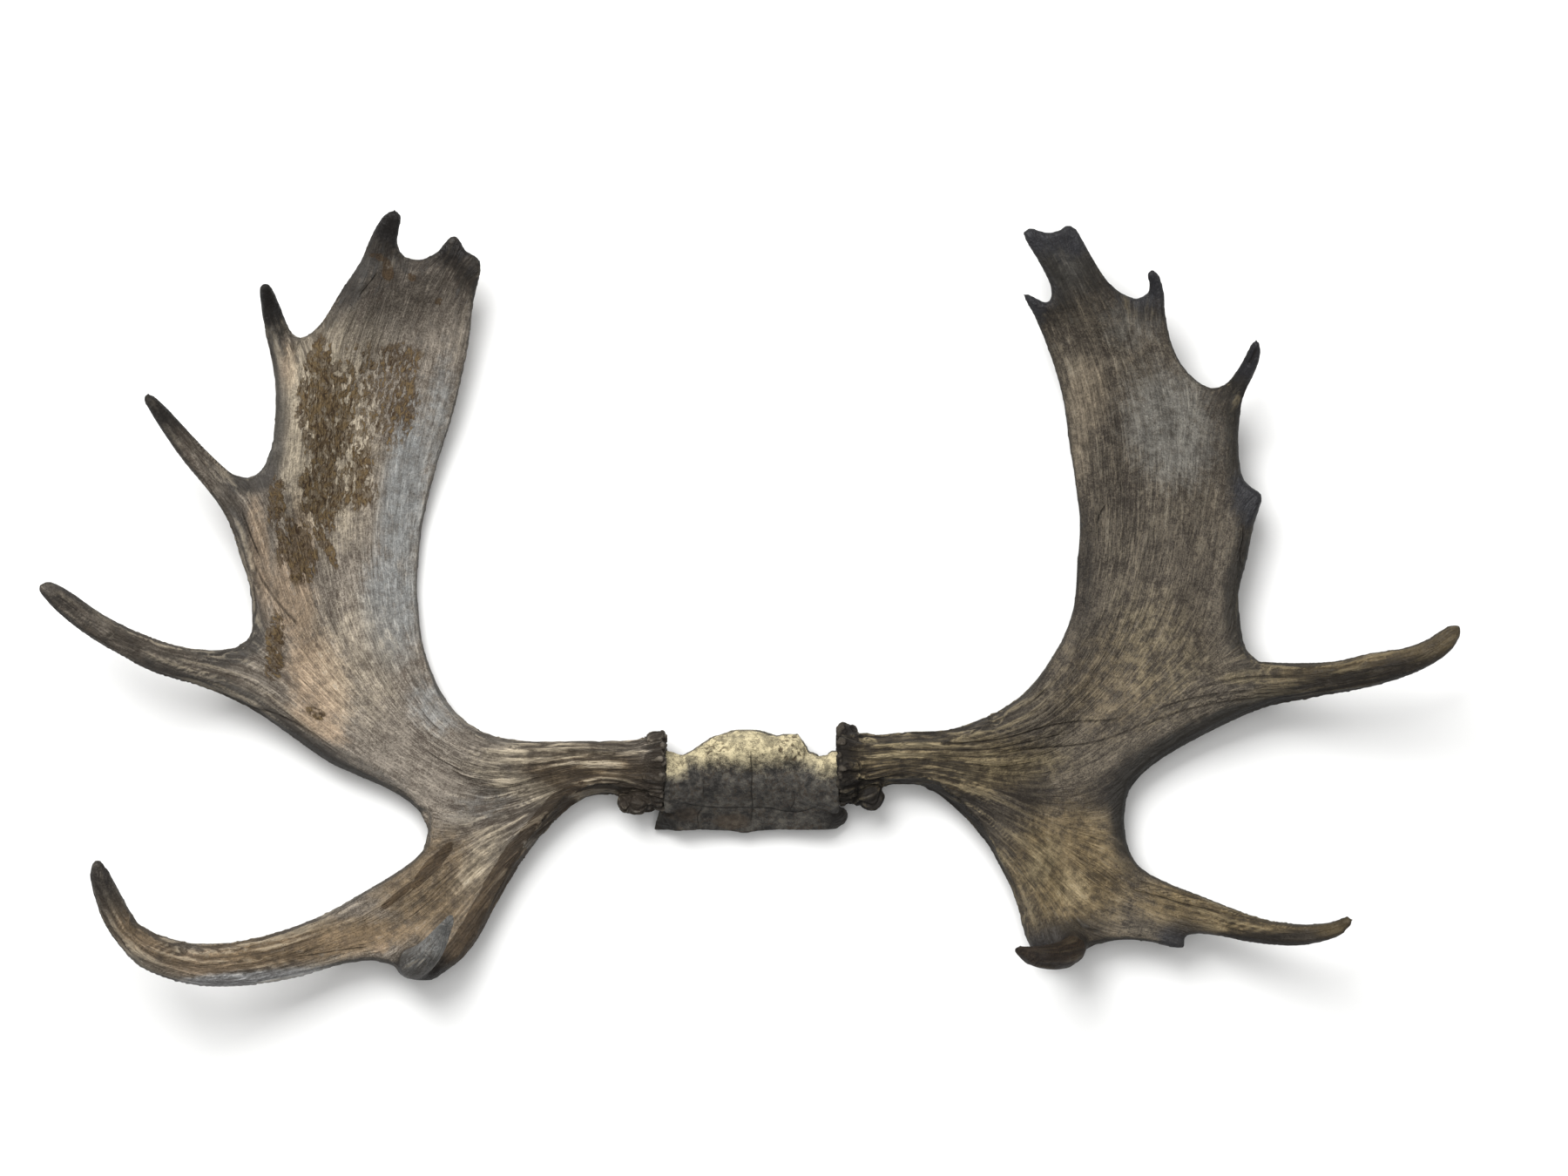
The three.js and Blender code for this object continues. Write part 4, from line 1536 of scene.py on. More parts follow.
@dataclass(frozen=True)
class ReliefSizes:
    """Heights and widths of an antler's relief; some heights grow towards beam and collar."""

    ridge: float = 0.12
    beam_ridge: float = 1.15
    ridge_width: float = 4.4
    ridge_stretch: float = 20.0
    flute: float = 0.25
    beam_flute: float = 1.1
    collar_flute: float = 1.3
    flute_width: float = 9.0
    flute_stretch: float = 15.0
    swell: float = 0.8
    swell_width: float = 42.0
    ripple: float = 0.28
    ripple_width: float = 11.0
    crack: float = 0.9
    pit: float = 2.0
    pearl_radius: tuple[float, float] = (2.2, 4.6)
    pearl_rise: float = 0.62
    full_pearl: float = 2.6


@dataclass
class Relief:
    """What was raised at each point, for the finish to paint by."""

    shade: np.ndarray
    ripple: np.ndarray
    pearl: np.ndarray
    crack_side: np.ndarray
    crack_present: np.ndarray
    pit: np.ndarray


@dataclass
class Antler:
    """One antler from burr to tips, grown as one piece.

    A burr's pearls stand in rings, each a distance from its face, a count and a share of its
    radius. The margin is the depth over which the rim passes into the face of the palm.
    """

    name: str
    side: Side
    nodes: tuple[str, str]
    slot: str
    fork_y: float
    burr_y: float
    burr_radius: float
    tips: tuple[Tip, ...]
    small_tine: tuple[tuple[float, float, float], ...]
    marks: Marks
    finish: AntlerFinish
    seed: int
    sizes: ReliefSizes = ReliefSizes()
    voxel: float = 2.35
    refined_to: float = 136.0
    facet_rounds: int = 26
    dish_rounds: int = 150
    collar_rounds: int = 16
    last_rounds: int = 6
    margin: tuple[float, float] = (12.0, 30.0)
    burr_x: float = 77.0
    axis_height: float = 42.0
    flare_length: float = 36.0
    flare_fade: float = 14.0
    burr_edge: float = 2.4
    pearl_rings: tuple[tuple[float, int, float], ...] = ((0.5, 24, 0.93), (3.5, 26, 1.0))
    seam_half: float = 0.15
    seam_overlap: float = 1.0
    small_tine_reach: float = 19.0
    small_tine_root: float = 24.0
    small_tine_radius: float = 12.0
    small_tine_start: float = 400.0
    small_tine_darkness: float = 0.42
    small_tine_sky_light: float = 0.0
    small_tine_brown: float = 0.0
    inset: float = 4.5
    rim_round: float = 14.0
    rim_lines: float = 2.3
    underside_shade: float = 0.55

    def _closed_halves(self) -> list[tuple[np.ndarray, np.ndarray]]:
        """Main and brow palm with their faces at the fork pushed into each other.

        Returns:
            Points and faces of each half.
        """
        solids = []
        for node, way in zip(self.nodes, (1, -1)):
            points, faces = solid_of(node)
            on_cut = np.abs(points[:, 1] - self.fork_y - way * self.seam_half) < 0.06
            points[on_cut, 1] -= way * self.seam_overlap
            solids.append((points, faces))
        return solids

    def _small_tine_share(self, points: np.ndarray) -> tuple[np.ndarray, np.ndarray, np.ndarray]:
        """Which points are on the small brow tine, how far up it and where round it.

        Args:
            points: The skin's points.

        Returns:
            Whether each point is on the tine, its distance up the tine and its angle.
        """
        line = np.array(self.small_tine)
        best = np.full(len(points), np.inf)
        up = np.zeros(len(points))
        travelled = 0.0
        axis_x = np.zeros(len(points))
        axis_y = np.zeros(len(points))
        for start, end in zip(line[:-1], line[1:]):
            run = end - start
            length = np.linalg.norm(run)
            share = np.clip((points - start) @ run / length**2, 0, 1)
            at = start + share[:, None] * run
            distance = np.linalg.norm(points - at, axis=1)
            nearer = distance < best
            best = np.where(nearer, distance, best)
            up = np.where(nearer, travelled + share * length, up)
            axis_x = np.where(nearer, points[:, 0] - at[:, 0], axis_x)
            axis_y = np.where(nearer, points[:, 1] - at[:, 1], axis_y)
            travelled += length
        is_tine = (best < self.small_tine_reach) & (up > self.small_tine_root)
        return is_tine, up, np.arctan2(axis_y, axis_x)

    def _flare(self, points: np.ndarray) -> None:
        """Draws the burr's front and back out of the beam in one hollow curve.

        Args:
            points: The skin's points, moved in place.
        """
        away = np.abs(points[:, 0]) - self.burr_x
        near = away < self.flare_length + self.flare_fade
        rise, height = points[near, 1] - self.burr_y, points[near, 2] - self.axis_height
        radius = np.hypot(rise, height)
        angle = np.arctan2(height, rise)
        turns, spacing = 48, 2.0
        rows = int((self.flare_length + self.flare_fade) // spacing) + 1
        row = np.clip((away[near] / spacing).astype(int), 0, rows - 1)
        column = ((angle / (2 * math.pi) + 0.5) * turns).astype(int) % turns
        place = row * turns + column
        count = np.bincount(place, minlength=rows * turns).reshape(rows, turns)
        total = np.bincount(place, radius, rows * turns).reshape(rows, turns)
        for _ in range(2):
            count, total = (
                grid + 0.5 * (np.roll(grid, 1, 1) + np.roll(grid, -1, 1))
                for grid in (count, total)
            )
        mean = total / np.maximum(count, 1e-6)
        face = mean[1:4].mean(0)
        beam = mean[-5:-2].mean(0)
        share = 1 - ramp(away[near], 5.0, self.flare_length)
        wanted = beam[column] + (face[column] - beam[column]) * share**1.3
        front = ramp(np.cos(angle), -0.8, -0.4) * (1 - 0.35 * ramp(np.cos(angle), 0.82, 0.96))
        fade = 1 - ramp(away[near], self.flare_length, self.flare_length + 10)
        shift = (wanted - mean[row, column]) * front * fade * ramp(away[near], 2.0, 6.0)
        shift -= self.burr_edge * (1 - ramp(away[near], -0.5, 4.5)) * ramp(radius, 22.0, 28.0)
        points[near, 1] += shift * np.cos(angle)
        points[near, 2] += shift * np.sin(angle)

    def _pearls(self, points: np.ndarray) -> np.ndarray:
        """Height of the pearls round the burr at each point.

        Args:
            points: The skin's points.

        Returns:
            Height at each point.
        """
        rng = np.random.default_rng(self.seed + 40)
        height = np.zeros(len(points))
        near = np.abs(points[:, 0]) < self.burr_x + 30
        spots = points[near]
        raised = np.zeros(len(spots))
        middle = np.array([0.0, self.burr_y, self.axis_height])
        for along, count, reach in self.pearl_rings:
            for number in range(count):
                angle = 2 * math.pi * (number + rng.uniform(-0.3, 0.3)) / count
                radius = rng.uniform(*self.sizes.pearl_radius)
                reach_here = self.burr_radius * reach * rng.uniform(0.94, 1.05)
                centre = middle + reach_here * np.array([0.0, math.cos(angle), math.sin(angle)])
                centre[0] = self.side.value * (self.burr_x + along + rng.uniform(-1.5, 1.5))
                offset = spots - centre
                offset[:, 0] *= 0.8
                distance = np.linalg.norm(offset, axis=1) / radius
                dome = np.sqrt(np.clip(1 - distance**2, 0, 1))
                dome = self.sizes.pearl_rise * radius * dome
                raised = np.maximum(raised, dome)
        height[near] = raised
        return height

    def build(self, shared: SharedEffects) -> bpy.types.Object:
        """Skins, shapes and dresses the antler.

        Args:
            shared: The shared node groups.

        Returns:
            The piece.
        """
        low, high = self._limits()
        skin = BoneSkin(self.name, self._closed_halves(), self.voxel)
        skin.refine(self.refined_to)
        flow = GrowthField(skin.points[:, :2], self.burr_x, self.tips)
        depth = flow.depth(skin.points[:, :2])
        self._smooth(skin, depth)
        facts = self._measure(skin, flow, depth)
        relief = self._raise_relief(skin, facts)
        skin.keep_within(low, high)
        self._store(skin, facts, relief)
        piece = skin.finish(self.finish.make(shared))
        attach(piece, "root")
        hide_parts(*self.nodes)
        return piece

    def _smooth(self, skin: BoneSkin, depth: np.ndarray) -> None:
        """Takes the facets off, levels the dish and draws out the burr.

        Args:
            skin: The antler's skin.
            depth: How far each point lies behind the margin.
        """
        skin.smooth(self.facet_rounds)
        skin.level(self.dish_rounds, ramp(depth, *self.margin))
        self._flare(skin.points)
        away = np.abs(skin.points[:, 0]) - self.burr_x
        outer = self.flare_length + self.flare_fade
        collar = ramp(away, 5.0, 12.0) * (1 - ramp(away, self.flare_length, outer))
        skin.melt(self.collar_rounds, collar)
        skin.smooth(self.last_rounds)

    def _measure(self, skin: BoneSkin, flow: GrowthField, depth: np.ndarray) -> SkinFacts:
        """Works out where each point lies on the antler.

        Args:
            skin: The antler's skin.
            flow: Its growth, seen from above.
            depth: How far each point lies behind the margin.

        Returns:
            What was worked out.
        """
        direction = skin.normals()
        plan = skin.points[:, :2]
        inner = plan - self.inset * direction[:, :2]
        density = flow.density(inner)
        lean = np.arccos(np.clip(direction[:, 2], -1, 1))
        around = self.rim_round * ramp(lean, 0.4, 2.7) * self.rim_lines * density
        is_tine, up, turn = self._small_tine_share(skin.points)
        radius = self.small_tine_radius
        along = np.where(is_tine, self.small_tine_start + up, flow.along(inner))
        across = np.where(is_tine, radius * np.cos(turn), flow.across(inner))
        around = np.where(is_tine, radius * np.sin(turn), around)

        tine, tip = self._tine_ends(plan)
        distance = np.linalg.norm(skin.points - np.array(self.small_tine[-1]), axis=1)
        darkness = self.small_tine_darkness * (1 - ramp(distance, 16, 60))
        tip = np.where(is_tine, darkness, tip)
        beam = 1 - ramp(np.abs(plan[:, 0]), 165, 300)
        return SkinFacts(
            plan=plan,
            direction=direction,
            lean=lean,
            depth=depth,
            growth=np.stack([along, across, around], 1),
            octave=np.log2(np.where(is_tine, 1.0, density)),
            is_small_tine=is_tine,
            tip=tip,
            beam=np.maximum(beam, 0.55 * tine) * (1 - 0.6 * tip),
            front=1 - ramp(lean, 1.15, 1.9),
        )

    def _tine_ends(self, plan: np.ndarray) -> tuple[np.ndarray, np.ndarray]:
        """How far out on a tine each point lies, and how dark that tine's tip is there.

        Args:
            plan: Points, x and y.

        Returns:
            The share of a tine and the darkness of a tip.
        """
        tine, tip = np.zeros(len(plan)), np.zeros(len(plan))
        for end in self.tips:
            distance = np.hypot(plan[:, 0] - end.x, plan[:, 1] - end.y)
            tine = np.maximum(tine, 1 - ramp(distance, 0.75 * end.tine, 1.1 * end.tine))
            reach = 20 + min(0.2 * end.tine, 26.0)
            tip = np.maximum(tip, end.darkness * (1 - ramp(distance, 0.5 * reach, 1.8 * reach)))
        return tine, tip

    def _raise_relief(self, skin: BoneSkin, facts: SkinFacts) -> Relief:
        """Raises ridges, furrows and pearls, and sinks cracks and pits.

        Args:
            skin: The antler's skin.
            facts: Where its points lie.

        Returns:
            What the finish paints by.
        """
        sizes, plan, beam, lean = self.sizes, facts.plan, facts.beam, facts.lean
        ridge = self._ridges(facts, sizes.ridge_width, sizes.ridge_stretch, 1)
        flute = self._ridges(facts, sizes.flute_width, sizes.flute_stretch, 2)
        noise = LatticeNoise(self.seed + 3)
        swell = noise.at(skin.points / sizes.swell_width)
        ripple = noise.at(skin.points / sizes.ripple_width)
        collar = 1 - ramp(np.abs(plan[:, 0]), 96, 135)
        crack_side, crack_present = measure_cracks(self.marks.cracks, plan)
        crack_present = crack_present * facts.front
        pit = cover_all(self.marks.pits, plan) * facts.front
        pearl = self._pearls(skin.points) * (1 - ramp(np.abs(plan[:, 0]), 96, 104))
        flute_height = sizes.flute + sizes.beam_flute * beam + sizes.collar_flute * collar
        height = (sizes.ridge + sizes.beam_ridge * beam) * ridge + flute_height * flute
        height += sizes.swell * swell + sizes.ripple * ripple
        height *= 1 - ramp(facts.tip, 0.3, 0.9) * 0.8
        height *= 1 - 0.5 * ramp(lean, 0.9, 1.35) * (1 - collar)
        height -= sizes.crack * crack_present * (1 - ramp(np.abs(crack_side), 0.6, 2.6))
        height -= sizes.pit * ramp(pit, 0.3, 0.8)
        skin.raise_by(height + pearl, facts.direction)
        shade = 0.85 * ridge + 0.3 * flute
        return Relief(shade, ripple, pearl, crack_side, crack_present, pit)

    def _store(self, skin: BoneSkin, facts: SkinFacts, relief: Relief) -> None:
        """Keeps what the finish paints by with the skin.

        Args:
            skin: The antler's skin.
            facts: Where its points lie.
            relief: What was raised.
        """
        marks, plan, lean, depth = self.marks, facts.plan, facts.lean, facts.depth
        # Painted bounce light from the floor on a lower margin; rim and underside shade are lifted
        # there.
        bounce_lit = cover_all(marks.bounce_lit, plan)
        # Painted shade on the margins that lean away from the camera and the light, widened by the
        # marked shade bands.
        rim = 0.8 * ramp(lean, 0.6, 1.3) * (1 - 0.5 * facts.beam) * (1 - ramp(depth, 12.0, 26.0))
        shade_band = (1 - ramp(depth, 11.0, 25.0)) * cover_all(marks.shade_band, plan)
        rim = np.maximum(rim, shade_band) * facts.front * (1 - bounce_lit)
        # Painted shade on faces turned towards the bottom of the view, away from the light, near
        # the margins and on steep sides.
        under = ramp(-facts.direction[:, 1], 0.2, 0.85) * (1 - 0.5 * ramp(lean, 1.9, 2.6))
        under *= np.maximum(1 - ramp(depth, *self.margin), ramp(lean, 0.9, 1.4)) * (1 - bounce_lit)
        burr = 1 - ramp(np.abs(plan[:, 0]) + 3 * relief.ripple - self.burr_x, 10, 26)
        velvet, warm, cool, dark, cream, olive = (
            cover_all(spots, plan) * facts.front * ~facts.is_small_tine
            for spots in (
                marks.velvet, marks.warm, marks.cool, marks.dark, marks.cream, marks.olive
            )
        )
        # The dark mask: dark patches, partly darker bone and partly painted shade, with painted
        # shade on the undersides and the darker burr.
        dark = np.clip(dark + self.underside_shade * under + 0.8 * burr, 0, 1)
        # On the left small tine, the cool grey is painted sky light on its lit face.
        cool = np.where(facts.is_small_tine, self.small_tine_sky_light, cool)
        stripe = (1 - ramp(depth, 17.0, 23.0)) * cover_all(marks.stripe, plan)
        stripe = np.maximum(stripe, cover_all(marks.stained, plan) * facts.front)
        stripe = np.where(facts.is_small_tine, self.small_tine_brown, stripe)
        skin.store("growth", *facts.growth.T)
        skin.store("form", facts.octave, rim, facts.tip)
        skin.store("relief", relief.shade, facts.beam, bounce_lit)
        skin.store("margin", stripe, burr, np.clip(relief.pearl / self.sizes.full_pearl, 0, 1))
        # The stain channels hold velvet, warm tint and cool grey, which is partly painted light.
        skin.store("stain", velvet, warm, cool)
        # The shade channels hold the dark mask with its painted shade, cream that is partly
        # painted highlight, and olive.
        skin.store("shade", dark, cream, olive)
        skin.store("crack", relief.crack_side, relief.crack_present, relief.pit)

    def _limits(self) -> tuple[np.ndarray, np.ndarray]:
        """Lowest and highest corner of the antler's own solids.

        Returns:
            Lowest and highest corner.
        """
        boxes = [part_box(node) for node in self.nodes]
        low = np.min([np.array(box[0]) for box in boxes], axis=0) / MM
        high = np.max([np.array(box[1]) for box in boxes], axis=0) / MM
        return low, high

    def _ridges(
        self, facts: SkinFacts, width: float, stretch: float, layer: int
    ) -> np.ndarray:
        """Rounded ridges with sharp furrows between them, along the growth.

        Args:
            facts: Where each point lies.
            width: Distance from furrow to furrow.
            stretch: Length of a ridge in widths.
            layer: Number of the layer, so that layers differ.

        Returns:
            Height at each point, about -1 to 1.
        """
        noise = LatticeNoise(self.seed + 10 * layer)
        level = -(facts.octave + math.log2(width))
        coarse = np.floor(level)
        share = level - coarse
        drawn = facts.growth / np.array([stretch, 1.0, 1.0])
        one = noise.at(drawn * (2.0**coarse)[:, None] + layer)
        other = noise.at(drawn * (2.0 ** (coarse + 1))[:, None] + layer)
        value = one * (1 - share) + other * share
        return np.clip(3.2 * np.abs(value) - 0.75, -1, 1)


@dataclass
class SkullPlate:
    """The sawn plate of frontal bone with the stumps that carry the antlers."""

    name: str = "skull_plate_bone"
    node: str = "skull_plate"
    slot: str = "skull_bone"
    voxel: float = 1.15
    stump_end: float = 75.5
    stump_y: float = -1.0
    stump_height: float = 41.0
    stump_radius: float = 29.0
    reach_into_burr: float = 2.6
    facet_rounds: int = 14
    flat_below: float = 0.7
    seed: int = 71
    hollow_depth: float = 2.2
    crack_depth: float = 0.8
    furrow_height: float = 0.9
    finish: SkullFinish = SkullFinish()
    rough: tuple[Patch, ...] = patches((40, 30, 14, 12), (-34, 30, 12, 9, 0, 0.6))
    brown: tuple[Patch, ...] = patches((-18, -37, 16, 7), (-60, -30, 12, 8, 0, 0.8))
    corners: tuple[Patch, ...] = patches((-80, -41, 11, 7), (80, -38, 10, 12))
    cracks: tuple[Crack, ...] = (
        Crack(((0.5, 36), (-1, 22), (1, 8), (-0.5, -8), (1.5, -22), (0, -34), (-1, -44)), 0.6),
        Crack(((-75, -15), (-62, -20), (-44, -24), (-22, -25), (0, -25),
               (16, -25), (32, -29), (46, -29), (58, -24), (66, -18)), 0.6),
        Crack(((-44, -24), (-50, -32), (-48, -42)), 0.45),
        Crack(((34, -29), (40, -18), (38, -8)), 0.4),
    )

    def build(self, shared: SharedEffects) -> bpy.types.Object:
        """Skins, shapes and dresses the plate.

        Args:
            shared: The shared node groups.

        Returns:
            The piece.
        """
        points, faces = solid_of(self.node)
        ends = np.abs(points[:, 0]) > self.stump_end
        rise, height = points[:, 1] - self.stump_y, points[:, 2] - self.stump_height
        ends &= np.hypot(rise, height) < self.stump_radius
        points[ends, 0] += np.sign(points[ends, 0]) * self.reach_into_burr
        skin = BoneSkin(self.name, [(points, faces)], self.voxel)
        skin.smooth(self.facet_rounds)
        direction = skin.normals()
        plan = skin.points[:, :2]
        x, y = plan.T

        noise = LatticeNoise(self.seed)
        swell = noise.at(skin.points / 17.0)
        ripple = noise.at(skin.points / 5.5)
        fine = noise.at(skin.points / 2.6)
        front = ramp(direction[:, 2], -0.2, 0.3)
        # Cream on the crest and the upper sides of the stumps, darker downwards: partly the bone's
        # own colour, partly painted light from above.
        crest = ramp(y + 4 * swell, 2, 37)
        crest = np.maximum(crest, ramp(np.abs(x), 50, 66) * ramp(y, -6, 24))
        crack_side, crack_present = measure_cracks(self.cracks, plan)
        crack_present = crack_present * front
        rough = sum(spot.cover(plan) for spot in self.rough)
        hollow = ramp(noise.at(skin.points / 4.2 + 30), 0.12, 0.5)
        hollow *= np.clip(rough + 0.25 * crest, 0, 1)
        height = (0.55 + 0.5 * crest) * swell + (0.35 + 0.5 * crest) * ripple
        height += (0.16 + 0.2 * crest) * fine
        height -= self.hollow_depth * hollow
        height -= self.crack_depth * crack_present * (1 - ramp(np.abs(crack_side), 0.5, 2.4))
        furrow = noise.at(skin.points / np.array([26.0, 3.4, 3.4]))
        stump = ramp(np.abs(x), 54, 66)
        height += self.furrow_height * stump * furrow
        rest = ramp(skin.points[:, 2], 1.0, 5.0)
        skin.raise_by(height * rest, direction)
        skin.points[skin.points[:, 2] < self.flat_below, 2] = 0.0
        low, high = (np.array(corner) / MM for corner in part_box(self.node))
        skin.keep_within(low, high)

        brown = cover_all(self.brown, plan) * front
        corners = cover_all(self.corners, plan) * front
        skin.store("bone", crest * front, np.clip(hollow, 0, 1), brown)
        skin.store("crack", crack_side, crack_present, corners)
        piece = skin.finish(self.finish.make(shared))
        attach(piece, "root")
        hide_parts(self.node)
        return piece


# ---- The two antlers ---------------------------------------------------------------------


def left_antler() -> Antler:
    """The left antler with its own tines and marks.

    Returns:
        The antler, ready to build.
    """
    marks = Marks(
        velvet=patches(
            (-392, 372, 12, 30, 0, 0.95), (-386, 335, 24, 46, 4, 0.86),
            (-352, 345, 42, 50, 0, 0.4), (-322, 384, 22, 16, 0, 0.52),
            (-318, 345, 15, 32, -8, 0.58), (-392, 262, 19, 34, 0, 0.8),
            (-358, 288, 12, 20, 0, 0.7), (-360, 262, 18, 14, 20, 0.7),
            (-431, 254, 7, 22, -6, 0.85), (-415, 210, 15, 28, 14, 0.9),
            (-389, 214, 5, 22, 30, 0.8), (-433, 122, 8, 30, -4, 0.8), (-396, 62, 9, 4, -30, 0.75),
        ),
        stained=patches(
            (-290, -76, 6, 28, -42), (-322, -104, 4, 24, -50, 0.75), (-329, 464, 6, 12, 0, 0.7),
            (-308, 458, 6, 5, 0, 0.6), (-284, 436, 5, 5, 0, 0.6), (-338, 476, 30, 4, -20, 0.5),
        ),
        warm=patches(
            (-396, 92, 26, 50, 16, 0.8), (-420, 376, 9, 24, 0, 0.8), (-418, 165, 20, 46, 8, 0.7),
            (-408, 232, 9, 34, 8, 0.7), (-447, 200, 10, 60, 4, 0.75), (-395, 52, 30, 12, -30, 0.8),
            (-505, 165, 40, 10, -30, 0.4), (-440, -154, 130, 13, 8, 0.9),
            (-545, -138, 30, 16, -40, 0.7), (-338, -150, 8, 6, 0, 0.95),
            (-300, -120, 40, 30, 40, 0.2),
        ),
        # Cool grey: partly the bone's tone, partly painted sky light on the inner palm and painted
        # bounce light along the long brow tine's lower margin.
        cool=patches(
            (-318, 262, 22, 90, -8, 0.8), (-330, 160, 28, 60, 0, 0.75),
            (-287, 330, 12, 60, -8, 0.6), (-290, 68, 30, 22, -40, 0.55),
            (-560, -160, 60, 14, -20, 0.7), (-470, -181, 120, 9, 5), (-250, -25, 40, 16, 20, 0.35),
        ),
        # Dark: partly darker bone, partly painted shade on lower edges.
        dark=patches(
            (-320, 540, 220, 140, 0, 0.72), (-108, -22, 18, 14, 0, 1.2),
            (-120, -6, 36, 12, 10, 0.7), (-470, 60, 80, 10, -26, 0.75),
            (-380, 15, 60, 9, -33, 0.8), (-310, -40, 10, 30, 20, 0.7),
            (-580, 140, 60, 10, -32, 0.5),
        ),
        # Cream: partly paler bone, partly painted highlight on the beam.
        cream=patches(
            (-360, 110, 42, 60, 10, 0.4), (-370, 400, 40, 34, 0, 0.4),
            (-388, 320, 44, 104, 0, 0.8), (-200, 24, 56, 11, 4, 0.55),
            (-205, -6, 56, 12, -22, 0.66), (-245, -70, 14, 40, -36, 0.55),
            (-140, 28, 44, 9, 0, 0.5),
        ),
        olive=patches(
            (-290, -95, 60, 56, 30, 0.72), (-400, -145, 120, 20, 8, 0.75), (-150, 8, 60, 26, -8),
            (-480, 90, 80, 12, -30, 0.35), (-540, -145, 50, 26, -40, 0.6),
        ),
        # Painted shade bands along the margins.
        shade_band=patches(
            (-450, 330, 30, 130), (-470, 130, 40, 90, 10, 0.9), (-372, 470, 60, 50, 0, 0.8),
            (-440, 50, 130, 40, -30, 0.8),
        ),
        stripe=patches(
            (-190, -26, 44, 16, 38), (-222, -66, 16, 40, 12), (-240, -98, 16, 26, -26),
            (-256, -130, 22, 46, -26),
        ),
        # Painted bounce light along the long brow tine's lower margin.
        bounce_lit=patches((-470, -184, 116, 11, 4)),
        cracks=(
            Crack(((-455, 206), (-448, 190), (-440, 176),
                   (-428, 160), (-416, 146), (-408, 138)), 0.9),
            Crack(((-462, 250), (-456, 232), (-450, 214), (-444, 200)), 0.6),
            Crack(((-440, 370), (-447, 350), (-449, 330), (-446, 312)), 0.6),
            Crack(((-470, 70), (-446, 66), (-424, 58), (-402, 46), (-384, 32)), 0.8),
            Crack(((-345, -150), (-365, -152), (-392, -156), (-420, -160)), 0.6),
            Crack(((-355, 440), (-345, 452), (-338, 462)), 0.7),
        ),
        pits=patches((-576, -157, 3.2, 5.0), (-574, -150, 2.4, 2.4, 0, 0.9)),
    )
    finish = AntlerFinish(
        name="dry_antler_left",
        pale="9c9285",
        middle="7e766b",
        dark="5a5148",
        warm="b1997e",
        cool="828585",
        velvet="67563b",
        velvet_dark="35281a",
        rim="3d3c3a",
        tip="141211",
        groove="261f17",
        olive="6e5b3f",
        cream="b7aa93",
        shadow="26211c",
        edging="3f3120",
        bounce_light="b4b4b4",
        seed=4.0,
    )
    tips = (
        Tip(-245, 470, 0.10, 30, 0.55),
        Tip(-269, 496, 0.11, 36, 0.8),
        Tip(-322, 517, 0.13, 50),
        Tip(-437, 451, 0.10, 78),
        Tip(-543, 350, 0.12, 115, 0.9),
        Tip(-637, 180, 0.17, 215, 0.55),
        Tip(-585, -67, 0.17, 225, 0.7),
        Tip(-300, -180, 0.10, 30),
    )
    return Antler(
        name="left_antler",
        side=Side.LEFT,
        nodes=("left_main_palm", "left_brow_palm"),
        slot="left_antler_bone",
        fork_y=-58.0,
        burr_y=10.0,
        burr_radius=34.0,
        tips=tips,
        small_tine=((-311, -166, 38), (-304, -164, 68), (-291, -153, 102),
                    (-280, -138, 126), (-269, -120, 147)),
        marks=marks,
        finish=finish,
        seed=11,
        small_tine_sky_light=0.75,
    )


